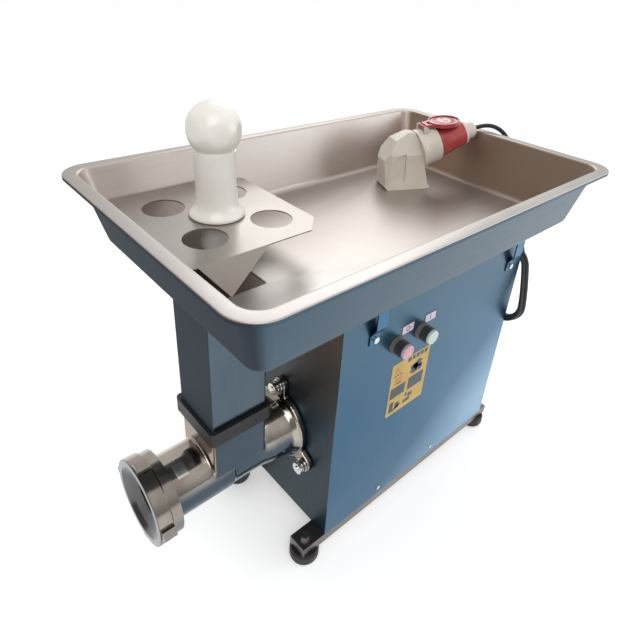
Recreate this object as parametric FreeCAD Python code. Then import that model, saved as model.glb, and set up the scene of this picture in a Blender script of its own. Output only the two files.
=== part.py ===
import FreeCAD, Part
import math
import os

# Electric meat grinder on a floor-standing body, drawn in millimetres.
# +X is the back, the outlet and its ring nut point along -X, the push buttons
# are on the -Y side and +Z is up. The origin is on the floor, under the middle
# of the overall length. The cord and what hangs on it are left out of that middle.

V = FreeCAD.Vector
X_AXIS = V(1, 0, 0)
Y_AXIS = V(0, 1, 0)
Z_AXIS = V(0, 0, 1)

# ---- driving dimensions -------------------------------------------------------
OVERALL_L = 940.0          # ring nut face to the tray's rear rim
TRAY_L = 900.0
TRAY_W = 565.0
TRAY_DEPTH = 128.0
RIM_W = 23.0               # flat rim round the tray
RIM_TOP = 804.0            # height of the rim above the floor
SHEET = 2.0                # tray sheet
PANEL_T = 1.5              # body panels
RUN_GAP = 0.35             # air between pieces that move on each other
BODY_HALF_W = 153.0
BODY_FRONT_BACK_L = 582.0
RAIL_TOP = 55.0
RAIL_H = 24.0
RAIL_W = 44.0
FOOT_R = 32.0
AXIS_Z = 277.0             # height of the screw's axis
THROAT = 112.0             # outside of the square feed chute
THROAT_SETBACK = 103.0     # tray's front rim to the chute's front
BARREL_R = 60.0
BORE_R = 50.0
RING_R = 82.0
CABLE_D = 10.0

# ---- places that follow from them ----------------------------------------------
NOSE_X = -OVERALL_L / 2
TRAY_X = OVERALL_L / 2 - TRAY_L / 2            # tray centre
TRAY_FLOOR = RIM_TOP - TRAY_DEPTH              # underside of the tray
THROAT_X0 = TRAY_X - TRAY_L / 2 + THROAT_SETBACK - 20.0
THROAT_X1 = THROAT_X0 + THROAT
THROAT_XC = (THROAT_X0 + THROAT_X1) / 2
BODY_X0 = TRAY_X - 168.0
BODY_X1 = BODY_X0 + BODY_FRONT_BACK_L
PANEL_Y = BODY_HALF_W                          # outer face of a side panel


# ---- small shape helpers ---------------------------------------------------------
def box(x0, x1, y0, y1, z0, z1):
    return Part.makeBox(x1 - x0, y1 - y0, z1 - z0, V(x0, y0, z0))


def rod_x(r, x0, x1, y=0.0, z=AXIS_Z):
    return Part.makeCylinder(r, x1 - x0, V(x0, y, z), X_AXIS)


def rod_y(r, y0, y1, x, z):
    return Part.makeCylinder(r, y1 - y0, V(x, y0, z), Y_AXIS)


def rod_z(r, z0, z1, x, y):
    return Part.makeCylinder(r, z1 - z0, V(x, y, z0), Z_AXIS)


def tube_x(r_out, r_in, x0, x1, y=0.0, z=AXIS_Z):
    return rod_x(r_out, x0, x1, y, z).cut(rod_x(r_in, x0 - 1, x1 + 1, y, z))


def cone_x(r0, r1, x0, x1, y=0.0, z=AXIS_Z):
    return Part.makeCone(r0, r1, x1 - x0, V(x0, y, z), X_AXIS)


def hex_x(across, x0, x1, y, z):
    pts = [V(x0, y + across / math.sqrt(3) * math.cos(math.radians(60 * i)),
             z + across / math.sqrt(3) * math.sin(math.radians(60 * i))) for i in range(7)]
    return Part.Face(Part.makePolygon(pts)).extrude(V(x1 - x0, 0, 0))


def hex_z(across, z0, z1, x, y):
    pts = [V(x + across / math.sqrt(3) * math.cos(math.radians(60 * i)),
             y + across / math.sqrt(3) * math.sin(math.radians(60 * i)), z0) for i in range(7)]
    return Part.Face(Part.makePolygon(pts)).extrude(V(0, 0, z1 - z0))


def prism_y(points, y0, y1):
    wire = Part.makePolygon([V(x, y0, z) for x, z in points + points[:1]])
    return Part.Face(wire).extrude(V(0, y1 - y0, 0))


def prism_x(points, x0, x1):
    wire = Part.makePolygon([V(x0, y, z) for y, z in points + points[:1]])
    return Part.Face(wire).extrude(V(x1 - x0, 0, 0))


def prism_z(points, z0, z1):
    wire = Part.makePolygon([V(x, y, z0) for x, y in points + points[:1]])
    return Part.Face(wire).extrude(V(0, 0, z1 - z0))


def revolve_z(points, x, y):
    """Solid of revolution about a vertical axis from (radius, height) points."""
    wire = Part.makePolygon([V(x + r, y, z) for r, z in points + points[:1]])
    return Part.Face(wire).revolve(V(x, y, 0), Z_AXIS, 360)


def revolve_x(points, y=0.0, z=AXIS_Z):
    """Solid of revolution about an axis along X from (x, radius) points."""
    wire = Part.makePolygon([V(x, y, z + r) for x, r in points + points[:1]])
    return Part.Face(wire).revolve(V(0, y, z), X_AXIS, 360)


def rounded_rect(x0, x1, y0, y1, z, r):
    """Closed wire of four straight sides and four corner arcs."""
    d = r * (1 - math.sqrt(0.5))
    edges = [
        Part.makeLine(V(x0 + r, y0, z), V(x1 - r, y0, z)),
        Part.Arc(V(x1 - r, y0, z), V(x1 - d, y0 + d, z), V(x1, y0 + r, z)).toShape(),
        Part.makeLine(V(x1, y0 + r, z), V(x1, y1 - r, z)),
        Part.Arc(V(x1, y1 - r, z), V(x1 - d, y1 - d, z), V(x1 - r, y1, z)).toShape(),
        Part.makeLine(V(x1 - r, y1, z), V(x0 + r, y1, z)),
        Part.Arc(V(x0 + r, y1, z), V(x0 + d, y1 - d, z), V(x0, y1 - r, z)).toShape(),
        Part.makeLine(V(x0, y1 - r, z), V(x0, y0 + r, z)),
        Part.Arc(V(x0, y0 + r, z), V(x0 + d, y0 + d, z), V(x0 + r, y0, z)).toShape(),
    ]
    return Part.Wire(edges)


def rounded_block(x0, x1, y0, y1, z0, z1, r):
    return Part.Face(rounded_rect(x0, x1, y0, y1, z0, r)).extrude(V(0, 0, z1 - z0))


def fused(shapes):
    out = shapes[0]
    if len(shapes) > 1:
        out = out.fuse(shapes[1:])
    return out.removeSplitter()


def group(shapes):
    return Part.makeCompound(shapes)


# ---- tray, chute and guard --------------------------------------------------------
TRAY_BOT_X0 = TRAY_X - 398.5
TRAY_BOT_X1 = TRAY_X + 412.0
TRAY_BOT_Y = 231.0
RIM_X0 = TRAY_X - TRAY_L / 2
RIM_X1 = TRAY_X + TRAY_L / 2
RIM_Y = TRAY_W / 2
MOUTH_X0 = RIM_X0 + RIM_W
MOUTH_X1 = RIM_X1 - RIM_W
MOUTH_Y = RIM_Y - RIM_W
CHUTE_END = 408.0
HEAD_TOP = 406.0


def tray():
    """Welded pan with sloped sides, a flat turned rim and a square throat."""
    low, high = 26.0, 34.0
    outer = Part.makeLoft([rounded_rect(TRAY_BOT_X0, TRAY_BOT_X1, -TRAY_BOT_Y, TRAY_BOT_Y,
                                        TRAY_FLOOR, low),
                           rounded_rect(MOUTH_X0 - SHEET, MOUTH_X1 + SHEET, -MOUTH_Y - SHEET,
                                        MOUTH_Y + SHEET, RIM_TOP, high)], True, True)
    inner = Part.makeLoft([rounded_rect(TRAY_BOT_X0 + SHEET, TRAY_BOT_X1 - SHEET,
                                        -TRAY_BOT_Y + SHEET, TRAY_BOT_Y - SHEET,
                                        TRAY_FLOOR + SHEET, low - SHEET),
                           rounded_rect(MOUTH_X0, MOUTH_X1, -MOUTH_Y, MOUTH_Y,
                                        RIM_TOP + 0.01, high - SHEET)], True, True)
    lip_drop = 7.0
    rim = rounded_block(RIM_X0, RIM_X1, -RIM_Y, RIM_Y, RIM_TOP - lip_drop, RIM_TOP, 48.0)
    rim = rim.cut(rounded_block(RIM_X0 + SHEET, RIM_X1 - SHEET, -RIM_Y + SHEET, RIM_Y - SHEET,
                                RIM_TOP - lip_drop - 1, RIM_TOP - SHEET, 46.0))
    shell = fused([outer, rim]).cut(inner)
    shell = shell.cut(box(THROAT_X0 + SHEET, THROAT_X1 - SHEET, -THROAT / 2 + SHEET,
                          THROAT / 2 - SHEET, TRAY_FLOOR - 5, TRAY_FLOOR + 5))
    return shell.removeSplitter()


def square_tube(x0, x1, half_y, z0, z1, wall, r):
    """Upright square tube with rounded corners."""
    outer = rounded_block(x0, x1, -half_y, half_y, z0, z1, r)
    inner = rounded_block(x0 + wall, x1 - wall, -half_y + wall, half_y - wall, z0 - 1, z1 + 1,
                          max(r - wall, 1.0))
    return outer.cut(inner)


def feed_chute():
    return square_tube(THROAT_X0, THROAT_X1, THROAT / 2, CHUTE_END, TRAY_FLOOR, SHEET, 4.0)


GASKET_Z0 = 386.0
GASKET_Z1 = 416.0
GASKET_LIP = 8.0


def chute_gasket():
    """Rubber collar that bridges the chute and the head's throat box."""
    x0, x1 = THROAT_X0 - GASKET_LIP, THROAT_X1 + GASKET_LIP
    half = THROAT / 2 + GASKET_LIP
    ring = rounded_block(x0, x1, -half, half, GASKET_Z0, GASKET_Z1, 9.0)
    return ring.cut(rounded_block(THROAT_X0, THROAT_X1, -THROAT / 2, THROAT / 2,
                                  GASKET_Z0 - 1, GASKET_Z1 + 1, 4.0))


GUARD_Z = RIM_TOP - 58.0
GUARD_XC = TRAY_X - 256.0
GUARD_YC = 88.0
GUARD_X1 = TRAY_X - 127.0
GUARD_HOLE_R = 36.0
PUSHER_STEM_R = 29.0


def guard_plate():
    """Finger guard laid in the tray's corner, with hand-proof holes and a bent flap."""
    slope = (TRAY_BOT_X0 + SHEET - MOUTH_X0) / TRAY_DEPTH
    drop = RIM_TOP - GUARD_Z + SHEET
    wall_x = MOUTH_X0 + slope * drop + 0.4
    near, far = GUARD_YC - 141.0, GUARD_YC + 150.0
    cut = 36.0
    outline = [(wall_x + 18, near), (GUARD_X1 - cut, near), (GUARD_X1, near + cut),
               (GUARD_X1, far - cut), (GUARD_X1 - cut, far), (wall_x + 30, far),
               (wall_x, far - 30), (wall_x, near + 18)]
    plate = prism_z(outline, GUARD_Z - SHEET, GUARD_Z)
    pitch_x, pitch_y = 64.0, 69.0
    for sx in (-1, 1):
        for sy in (-1, 1):
            plate = plate.cut(rod_z(GUARD_HOLE_R, GUARD_Z - 9, GUARD_Z + 9,
                                    GUARD_XC + sx * pitch_x, GUARD_YC + sy * pitch_y))
    plate = plate.cut(rod_z(PUSHER_STEM_R + 1.5, GUARD_Z - 9, GUARD_Z + 9, GUARD_XC, GUARD_YC))
    left, right = TRAY_X - 375.0, TRAY_X - 248.0
    tip_x, out, down = TRAY_X - 333.0, 21.0, 55.0
    top = GUARD_Z
    a = [V(left, near, top), V(right, near, top), V(tip_x, near - out, top - down)]
    shift = V(0, SHEET * 0.93, -SHEET * 0.36)
    b = [p + shift for p in a]
    faces = [Part.Face(Part.makePolygon([a[0], a[1], a[2], a[0]])),
             Part.Face(Part.makePolygon([b[0], b[2], b[1], b[0]]))]
    for i in range(3):
        j = (i + 1) % 3
        faces.append(Part.Face(Part.makePolygon([a[i], b[i], b[j], a[j], a[i]])))
    flap = Part.makeSolid(Part.makeShell(faces))
    if flap.Volume < 0:
        flap.reverse()
    inset = 16.0
    legs = [box(x - 12, x + 12, far - inset - SHEET, far - inset, TRAY_FLOOR + SHEET + 0.1,
                GUARD_Z - 1)
            for x in (GUARD_XC - 90, GUARD_XC + 80)]
    return fused([plate, flap] + legs)


def pusher():
    """One-piece plastic stamper: stem, resting flare, neck and faceted ball."""
    x, y = GUARD_XC, GUARD_YC
    z0 = GUARD_Z
    stem_end = TRAY_FLOOR + SHEET + 6.0
    knob_z = RIM_TOP + 89.0
    knob_r = 45.0
    profile = [(0, stem_end), (PUSHER_STEM_R - 3, stem_end), (PUSHER_STEM_R, stem_end + 3),
               (PUSHER_STEM_R, z0 + 0.4), (47, z0 + 0.4), (48, z0 + 4), (46.5, z0 + 8),
               (40, z0 + 14), (36.5, z0 + 22), (34.5, z0 + 32), (34.0, knob_z - 28),
               (0, knob_z - 28)]
    handle = revolve_z(profile, x, y)
    ball = Part.makeSphere(knob_r, V(x, y, knob_z))
    for i in range(6):
        a = math.radians(60 * i - 50)
        cutter = Part.makeBox(40, 80, 80, V(knob_r * 0.93, -40, -40))
        cutter.rotate(V(0, 0, 0), Z_AXIS, math.degrees(a))
        cutter.translate(V(x, y, knob_z - 6))
        ball = ball.cut(cutter)
    return fused([handle, ball])


# ---- body ---------------------------------------------------------------------------
PANEL_HOLE_R = 69.0
BUTTON_Z = RIM_TOP - 303.0
STOP_X = TRAY_X - 20.0
START_X = TRAY_X + 55.0
GLAND_Y = 20.0
JBOX_Z = 585.0


def side_panel(side):
    """Folded side sheet; the near one carries the push buttons."""
    y0, y1 = (-PANEL_Y, -PANEL_Y + PANEL_T) if side < 0 else (PANEL_Y - PANEL_T, PANEL_Y)
    sheet = box(BODY_X0, BODY_X1, y0, y1, RAIL_TOP, TRAY_FLOOR)
    if side < 0:
        for x in (STOP_X, START_X):
            sheet = sheet.cut(rod_y(11.5, y0 - 1, y1 + 1, x, BUTTON_Z))
    return sheet


def front_panel():
    y = PANEL_Y - PANEL_T
    sheet = box(BODY_X0, BODY_X0 + PANEL_T, -y, y, RAIL_TOP, TRAY_FLOOR)
    return sheet.cut(rod_x(PANEL_HOLE_R, BODY_X0 - 1, BODY_X0 + 5)).cut(
        group([rod_x(8, BODY_X0 - 1, BODY_X0 + 5, ny, nz) for ny, nz in stud_places()]))


def rear_panel():
    """Rear sheet with two banks of cooling slots and the cable hole."""
    y = PANEL_Y - PANEL_T
    sheet = box(BODY_X1 - PANEL_T, BODY_X1, -y, y, RAIL_TOP, TRAY_FLOOR)
    slots = []
    for bank_y in (-62.0, 62.0):
        for i in range(10):
            z = 110.0 + 16.0 * i
            slots.append(box(BODY_X1 - 5, BODY_X1 + 5, bank_y - 42, bank_y + 42, z, z + 5))
    slots.append(rod_x(9, BODY_X1 - 5, BODY_X1 + 5, GLAND_Y, JBOX_Z))
    return sheet.cut(group(slots))


def top_plate():
    y = PANEL_Y - PANEL_T
    deck = box(BODY_X0 + PANEL_T, BODY_X1 - PANEL_T, -y, y, TRAY_FLOOR - 3, TRAY_FLOOR)
    return deck


RAIL_X0 = TRAY_X - 226.0
RAIL_X1 = TRAY_X + 445.0


def base_frame():
    """Two box rails under the body's sides, welded to two cross members."""
    outer = PANEL_Y - 1.0
    inner = outer - RAIL_W
    bars = [box(RAIL_X0, RAIL_X1, -outer, -inner, RAIL_TOP - RAIL_H, RAIL_TOP),
            box(RAIL_X0, RAIL_X1, inner, outer, RAIL_TOP - RAIL_H, RAIL_TOP)]
    for x in (BODY_X0 + 30, BODY_X1 - 74):
        bars.append(box(x, x + 44, -inner, inner, RAIL_TOP - RAIL_H + 4, RAIL_TOP))
    return fused(bars)


def floor_plate():
    y = PANEL_Y - PANEL_T
    return box(BODY_X0 + PANEL_T, BODY_X1 - PANEL_T, -y, y, RAIL_TOP, RAIL_TOP + 5)


FOOT_X = (TRAY_X - 204.0, TRAY_X + 418.0)
FOOT_Y = PANEL_Y - 1.0 - RAIL_W / 2


def each_foot(make):
    return group([make(x, s * FOOT_Y) for x in FOOT_X for s in (-1, 1)])


def rubber_feet():
    h = RAIL_TOP - RAIL_H
    return each_foot(lambda x, y: revolve_z(
        [(0, 0), (FOOT_R - 7, 0), (FOOT_R - 2, 3), (FOOT_R, 9), (FOOT_R, h - 6),
         (FOOT_R - 3, h), (0, h)], x, y))


def foot_bolts():
    """Studs of the feet inside the rails, drawn as their nuts on top of the rails."""
    return each_foot(lambda x, y: fused([hex_z(17, RAIL_TOP, RAIL_TOP + 8, x, y)])
                     if x < BODY_X0 else rod_z(5, RAIL_TOP, RAIL_TOP + 4, x + 14, y))


BRACKET_X = (TRAY_X - 88.0, TRAY_X + 361.0)
BOLT_Z = RIM_TOP - 257.0


def tray_brackets():
    """Four bent straps that hold the tray down on the side panels."""
    straps = []
    for x in BRACKET_X:
        for s in (-1, 1):
            y = s * PANEL_Y
            stand = s * 15.0
            outline = [(y, BOLT_Z - 11), (y + s * 2.5, BOLT_Z - 11), (y + s * 2.5, BOLT_Z + 11),
                       (y + stand, BOLT_Z + 30), (y + stand, TRAY_FLOOR),
                       (y + stand - s * 2.5, TRAY_FLOOR), (y + stand - s * 2.5, BOLT_Z + 31),
                       (y, BOLT_Z + 12)]
            straps.append(prism_x(outline, x - 13, x + 13))
    return group(straps)


def bracket_bolts():
    heads = []
    for x in BRACKET_X:
        for s in (-1, 1):
            y = s * (PANEL_Y + 2.5)
            y0, y1 = (y, y + 5) if s > 0 else (y - 5, y)
            heads.append(rod_y(6.5, y0, y1, x, BOLT_Z))
    return group(heads)


def panel_screws():
    """Pan-head screws along the lower and upper edges of both side panels."""
    heads = []
    for x in (TRAY_X - 5.0, TRAY_X + 186.0):
        for z in (RAIL_TOP + 21.0,):
            for s in (-1, 1):
                y0, y1 = (PANEL_Y, PANEL_Y + 2.2) if s > 0 else (-PANEL_Y - 2.2, -PANEL_Y)
                heads.append(rod_y(5.0, y0, y1, x, z))
    return group(heads)


# ---- grinding head ---------------------------------------------------------------------
BARREL_X0 = NOSE_X + 28.0
NECK_X0 = THROAT_X0 + 40.0
NECK_X1 = THROAT_X1 - 7.0
NECK_R = 57.0
FLANGE_X0 = BODY_X0 - 14.0
FLANGE_R = 80.0
STUD_PCR = 101.0
PLATE_T = 12.0
KNIFE_T = 10.0
PLATE_R = 51.0


def stud_places():
    return [(STUD_PCR * math.cos(math.radians(a)), AXIS_Z + STUD_PCR * math.sin(math.radians(a)))
            for a in (90, 210, 330)]


def head_housing():
    """Cast barrel with a throat box on top, a neck and a three-lug flange."""
    half = THROAT / 2
    barrel = rod_x(BARREL_R, BARREL_X0, NECK_X0)
    throat = box(THROAT_X0, THROAT_X1, -half, half, AXIS_Z, HEAD_TOP)
    throat = throat.makeFillet(4.0, [e for e in throat.Edges if abs(e.tangentAt(0).z) > 0.9])
    neck = rod_x(NECK_R, NECK_X0 - 1, NECK_X1 - 25)
    flare = revolve_x([(NECK_X1 - 26, 0), (NECK_X1 - 26, NECK_R), (NECK_X1 + 8, NECK_R + 1.5),
                       (NECK_X1 + 30, NECK_R + 6), (FLANGE_X0 - 12, NECK_R + 11),
                       (FLANGE_X0, FLANGE_R - 4), (FLANGE_X0, FLANGE_R), (BODY_X0 - 1, FLANGE_R),
                       (BODY_X0 - 1, 0)])
    solid = [barrel, throat, neck, flare]
    for y, z in stud_places():
        lug = rod_x(17, FLANGE_X0, BODY_X0 - 1, y, z)
        web_dir = math.atan2(z - AXIS_Z, y)
        web = Part.makeBox(BODY_X0 - 1 - FLANGE_X0, STUD_PCR, 34, V(FLANGE_X0, 0, -17))
        web.rotate(V(FLANGE_X0, 0, 0), X_AXIS, math.degrees(web_dir))
        web.translate(V(0, 0, AXIS_Z))
        solid += [lug, web]
    body = fused(solid)
    hollow = [rod_x(BORE_R, BARREL_X0 - 1, NECK_X1 - 8),
              rod_x(PLATE_R + RUN_GAP, BARREL_X0 - 1, BARREL_X0 + PLATE_T),
              rod_x(24, NECK_X1 - 20, BODY_X0 + 1),
              box(THROAT_X0 + 8, THROAT_X1 - 8, -half + 8, half - 8, AXIS_Z, HEAD_TOP + 1)]
    for y, z in stud_places():
        hollow.append(rod_x(6.5, FLANGE_X0 - 1, BODY_X0, y, z))
    hollow.append(plate_pin())
    return body.cut(hollow).removeSplitter()


def plate_pin():
    """Key pin that stops the hole plate turning in the barrel."""
    return rod_z(2.5, AXIS_Z + PLATE_R - 3.0, AXIS_Z + BARREL_R - 1.0, BARREL_X0 + 6, 0)


def orifice_plate():
    disc = rod_x(PLATE_R, BARREL_X0, BARREL_X0 + PLATE_T - 0.4)
    holes = [rod_x(8.06, BARREL_X0 - 1, BARREL_X0 + PLATE_T + 1)]
    for ring_r, count in ((18.0, 8), (28.5, 14), (39.0, 20)):
        for i in range(count):
            a = 2 * math.pi * i / count
            holes.append(rod_x(3.8, BARREL_X0 - 1, BARREL_X0 + PLATE_T + 1,
                               ring_r * math.cos(a), AXIS_Z + ring_r * math.sin(a)))
    notch = box(BARREL_X0 - 1, BARREL_X0 + PLATE_T + 1, -3.2, 3.2, AXIS_Z + PLATE_R - 4, AXIS_Z + 60)
    return disc.cut(holes + [notch])


def ring_nut():
    """Screwed ring that clamps the hole plate, with four knock-on lugs."""
    lip_r = 44.0
    back = BARREL_X0 + 18.0
    body = revolve_x([(NOSE_X, 69), (NOSE_X, RING_R - 1), (NOSE_X + 1, RING_R),
                      (NOSE_X + 25, RING_R), (NOSE_X + 28, RING_R - 4), (back, RING_R - 4),
                      (back, BARREL_R + RUN_GAP), (BARREL_X0 - 0.3, BARREL_R + RUN_GAP),
                      (BARREL_X0 - 0.3, lip_r), (BARREL_X0 - 9, lip_r), (NOSE_X + 8, 60)])
    lugs = []
    for i in range(4):
        lug = Part.makeBox(23, 22, 22, V(NOSE_X + 2, -11, RING_R - 10))
        lug = lug.makeChamfer(7, [e for e in lug.Edges
                                  if abs(e.tangentAt(0).x) > 0.9 and e.CenterOfMass.z > RING_R])
        lug.rotate(V(0, 0, 0), X_AXIS, 90 * i)
        lug.translate(V(0, 0, AXIS_Z))
        lugs.append(lug)
    outer = fused([body] + lugs)
    return outer.cut(rod_x(BARREL_R + RUN_GAP, BARREL_X0 - 0.3, back + 1))


KNIFE_X0 = BARREL_X0 + PLATE_T
SCREW_X0 = KNIFE_X0 + KNIFE_T
SCREW_X1 = NECK_X1 - 12.0
SCREW_R = 48.5


def knife():
    """Four-bladed cutter with a square hole."""
    x0, x1 = KNIFE_X0, KNIFE_X0 + KNIFE_T - 0.3
    hub = rod_x(18, x0, x1)
    blades = []
    for i in range(4):
        outline = [(-7, 10), (8, 10), (6, SCREW_R - 1.5), (-4, SCREW_R - 1.5)]
        blade = prism_x([(y, z) for y, z in outline], x0, x1)
        blade.rotate(V(0, 0, 0), X_AXIS, 90 * i + 20)
        blade.translate(V(0, 0, AXIS_Z))
        blades.append(blade)
    hole = box(x0 - 1, x1 + 1, -9.1, 9.1, AXIS_Z - 9.1, AXIS_Z + 9.1)
    return fused([hub] + blades).cut(hole)


def auger():
    """Feed screw: tapered core, one helical flight, square stub, pilot pin and drive tang."""
    core = cone_x(17, 21, SCREW_X0, SCREW_X1)
    pitch = 52.0
    flight_l = SCREW_X1 - SCREW_X0 - 12.0
    helix = Part.makeHelix(pitch, flight_l, 30.0)
    thick = 9.0
    profile = Part.makePolygon([V(12, 0, -thick / 2), V(SCREW_R, 0, -thick / 3),
                                V(SCREW_R, 0, thick / 3), V(12, 0, thick / 2),
                                V(12, 0, -thick / 2)])
    flight = Part.Wire(helix.Edges).makePipeShell([profile], True, True)
    flight.rotate(V(0, 0, 0), Y_AXIS, 90)
    flight.translate(V(SCREW_X0 + 6, 0, AXIS_Z))
    square = box(KNIFE_X0 - 0.4, SCREW_X0 + 2, -9, 9, AXIS_Z - 9, AXIS_Z + 9)
    pin = rod_x(8.0, BARREL_X0 + 1, KNIFE_X0)
    shank = rod_x(20, SCREW_X1 - 1, BODY_X0 - 4)
    tang = box(BODY_X0 - 6, BODY_X0 + 20, -16, 16, AXIS_Z - 7, AXIS_Z + 7)
    return fused([core, flight, square, pin, shank, tang])


def shaft_seal():
    return tube_x(23.9, 20.4, NECK_X1 + 30, NECK_X1 + 38)


def head_studs():
    return group([rod_x(6, FLANGE_X0 - 20, BODY_X0 + 12, y, z) for y, z in stud_places()])


def head_nuts():
    """Domed knurled nuts on the three studs."""
    nuts = []
    for y, z in stud_places():
        washer = tube_x(14, 6, FLANGE_X0 - 3, FLANGE_X0, y, z)
        grip = tube_x(12.5, 6, FLANGE_X0 - 18, FLANGE_X0 - 3, y, z)
        groove = tube_x(14, 11.4, FLANGE_X0 - 12, FLANGE_X0 - 9.5, y, z)
        nuts.append(fused([washer, grip.cut(groove)]))
    return group(nuts)


# ---- gear train -------------------------------------------------------------------------
MOD_SLOW = 4.0
Z_OUT, Z_MID_PINION = 51, 17
MOD_FAST = 3.0
Z_MID_GEAR, Z_MOTOR_PINION = 48, 16
MID_ANGLE = -63.0
MOTOR_ANGLE = 160.0
MID_DIST = MOD_SLOW * (Z_OUT + Z_MID_PINION) / 2
MOTOR_DIST = MOD_FAST * (Z_MID_GEAR + Z_MOTOR_PINION) / 2
MID_Y = MID_DIST * math.cos(math.radians(MID_ANGLE))
MID_Z = AXIS_Z + MID_DIST * math.sin(math.radians(MID_ANGLE))
MOTOR_Y = MID_Y + MOTOR_DIST * math.cos(math.radians(MOTOR_ANGLE))
MOTOR_Z = MID_Z + MOTOR_DIST * math.sin(math.radians(MOTOR_ANGLE))
CASE_X0 = BODY_X0 + 12.0
CASE_X1 = CASE_X0 + 122.0
CASE_WALL = 8.0
SLOW_X = CASE_X0 + 26.0
FAST_X = CASE_X0 + 72.0
FAST_W, SLOW_W = 26.0, 38.0


def involute_gear(module, teeth, x0, width, y, z, phase_deg):
    """Spur gear with involute flanks; one tooth is centred on phase_deg."""
    pressure = math.radians(20)
    backlash = 0.22
    r_pitch = module * teeth / 2
    r_base = r_pitch * math.cos(pressure)
    r_tip = r_pitch + 0.92 * module
    r_root = r_pitch - 1.25 * module
    half_pitch = math.pi / (2 * teeth) - backlash / (2 * r_pitch)
    inv = math.tan(pressure) - pressure
    flank = []
    steps = 5
    r_start = max(r_base, r_root)
    for i in range(steps + 1):
        r = r_start + (r_tip - r_start) * i / steps
        a = math.acos(min(1.0, r_base / r))
        flank.append((r, half_pitch + inv - (math.tan(a) - a)))
    if r_root < r_base:
        flank.insert(0, (r_root, flank[0][1]))
    pts = []
    for t in range(teeth):
        mid = math.radians(phase_deg) + 2 * math.pi * t / teeth
        for r, half in flank:
            pts.append(V(x0, y + r * math.cos(mid - half), z + r * math.sin(mid - half)))
        for r, half in reversed(flank):
            pts.append(V(x0, y + r * math.cos(mid + half), z + r * math.sin(mid + half)))
    pts.append(pts[0])
    return Part.Face(Part.makePolygon(pts)).extrude(V(width, 0, 0))


def output_gear():
    gear = involute_gear(MOD_SLOW, Z_OUT, SLOW_X, SLOW_W, 0, AXIS_Z, MID_ANGLE)
    return gear.cut(rod_x(27, SLOW_X - 1, SLOW_X + SLOW_W + 1))


def output_shaft():
    """Hollow spindle with a slot for the screw's tang."""
    shaft = fused([rod_x(27, BODY_X0 - 0.7, SLOW_X + SLOW_W), rod_x(24, CASE_X0 + 44, CASE_X1 - CASE_WALL - 0.4)])
    slot = box(BODY_X0 - 4, BODY_X0 + 20, -16, 16, AXIS_Z - 7, AXIS_Z + 7)
    return shaft.cut(slot)


def mid_shaft():
    half = 180.0 / Z_MID_PINION
    toward_out = MID_ANGLE + 180.0
    shaft = rod_x(15, CASE_X0 + CASE_WALL + 0.4, CASE_X1 - CASE_WALL - 0.4, MID_Y, MID_Z)
    pinion = involute_gear(MOD_SLOW, Z_MID_PINION, SLOW_X - 3, SLOW_W + 6, MID_Y, MID_Z,
                           toward_out + half)
    return fused([shaft, pinion])


def mid_gear():
    gear = involute_gear(MOD_FAST, Z_MID_GEAR, FAST_X, FAST_W, MID_Y, MID_Z, MOTOR_ANGLE)
    return gear.cut(rod_x(15, FAST_X - 1, FAST_X + FAST_W + 1, MID_Y, MID_Z))


MOTOR_X0 = CASE_X1 + 3.0
MOTOR_L = 226.0
MOTOR_X1 = MOTOR_X0 + MOTOR_L
MOTOR_R = 84.0


def motor_pinion():
    half = 180.0 / Z_MOTOR_PINION
    gear = involute_gear(MOD_FAST, Z_MOTOR_PINION, FAST_X - 3, FAST_W + 6, MOTOR_Y, MOTOR_Z,
                         MOTOR_ANGLE + 180.0 + half)
    return gear.cut(rod_x(14, FAST_X - 4, FAST_X + FAST_W + 4, MOTOR_Y, MOTOR_Z))


def case_outline(grow):
    """Rounded union of discs round the three axes, as (y, z, radius)."""
    return [(0.0, AXIS_Z, 108.0 + grow), (MID_Y, MID_Z, 77.5 + grow),
            (MOTOR_Y, MOTOR_Z, 42.0 + grow)]


def gearbox_case():
    """Cast case, open at the back, with a nose that fills the front panel's hole."""
    outer = [rod_x(r, CASE_X0, CASE_X1 - CASE_WALL, y, z) for y, z, r in case_outline(CASE_WALL)]
    outer.append(rod_x(PANEL_HOLE_R - 1, BODY_X0 - 1, CASE_X0 + 2))
    for y, z in stud_places():
        outer.append(rod_x(14, BODY_X0 + PANEL_T, CASE_X0 + 4, y, z))
    inner = [rod_x(r, CASE_X0 + CASE_WALL, CASE_X1, y, z) for y, z, r in case_outline(0)]
    inner.append(rod_x(36, BODY_X0 - 2, CASE_X0 + 20))
    inner += [rod_x(6, BODY_X0 - 2, BODY_X0 + 12, y, z) for y, z in stud_places()]
    return fused(outer).cut(inner).removeSplitter()


def gearbox_cover():
    """Rear cover that carries the rear bearings and the motor flange."""
    plate = fused([rod_x(r, CASE_X1 - CASE_WALL, CASE_X1, y, z)
                   for y, z, r in case_outline(CASE_WALL)])
    holes = [rod_x(20, CASE_X1 - 20, CASE_X1 + 1, MOTOR_Y, MOTOR_Z)]
    return plate.cut(holes)


def bearing(x0, width, r_out, r_in, y, z):
    ring = tube_x(r_out, r_in, x0, x0 + width, y, z)
    grooves = tube_x(r_out - 0.3 * (r_out - r_in), r_in + 0.3 * (r_out - r_in),
                     x0 - 1, x0 + 1.2, y, z)
    return ring.cut(grooves)


def output_bearings():
    gap = 0.05
    return group([bearing(BODY_X0 + 1, 16, 35.9, 27 + gap, 0, AXIS_Z),
                  bearing(CASE_X1 - CASE_WALL - 14, 13.8, 40, 24 + gap, 0, AXIS_Z)])


def mid_bearings():
    gap = 0.05
    return group([bearing(CASE_X0 + CASE_WALL + 0.1, 11, 28, 15 + gap, MID_Y, MID_Z),
                  bearing(CASE_X1 - CASE_WALL - 12.2, 12, 28, 15 + gap, MID_Y, MID_Z)])


def output_oil_seal():
    return tube_x(35.9, 27.06, BODY_X0 + 17.2, BODY_X0 + 26)


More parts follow.
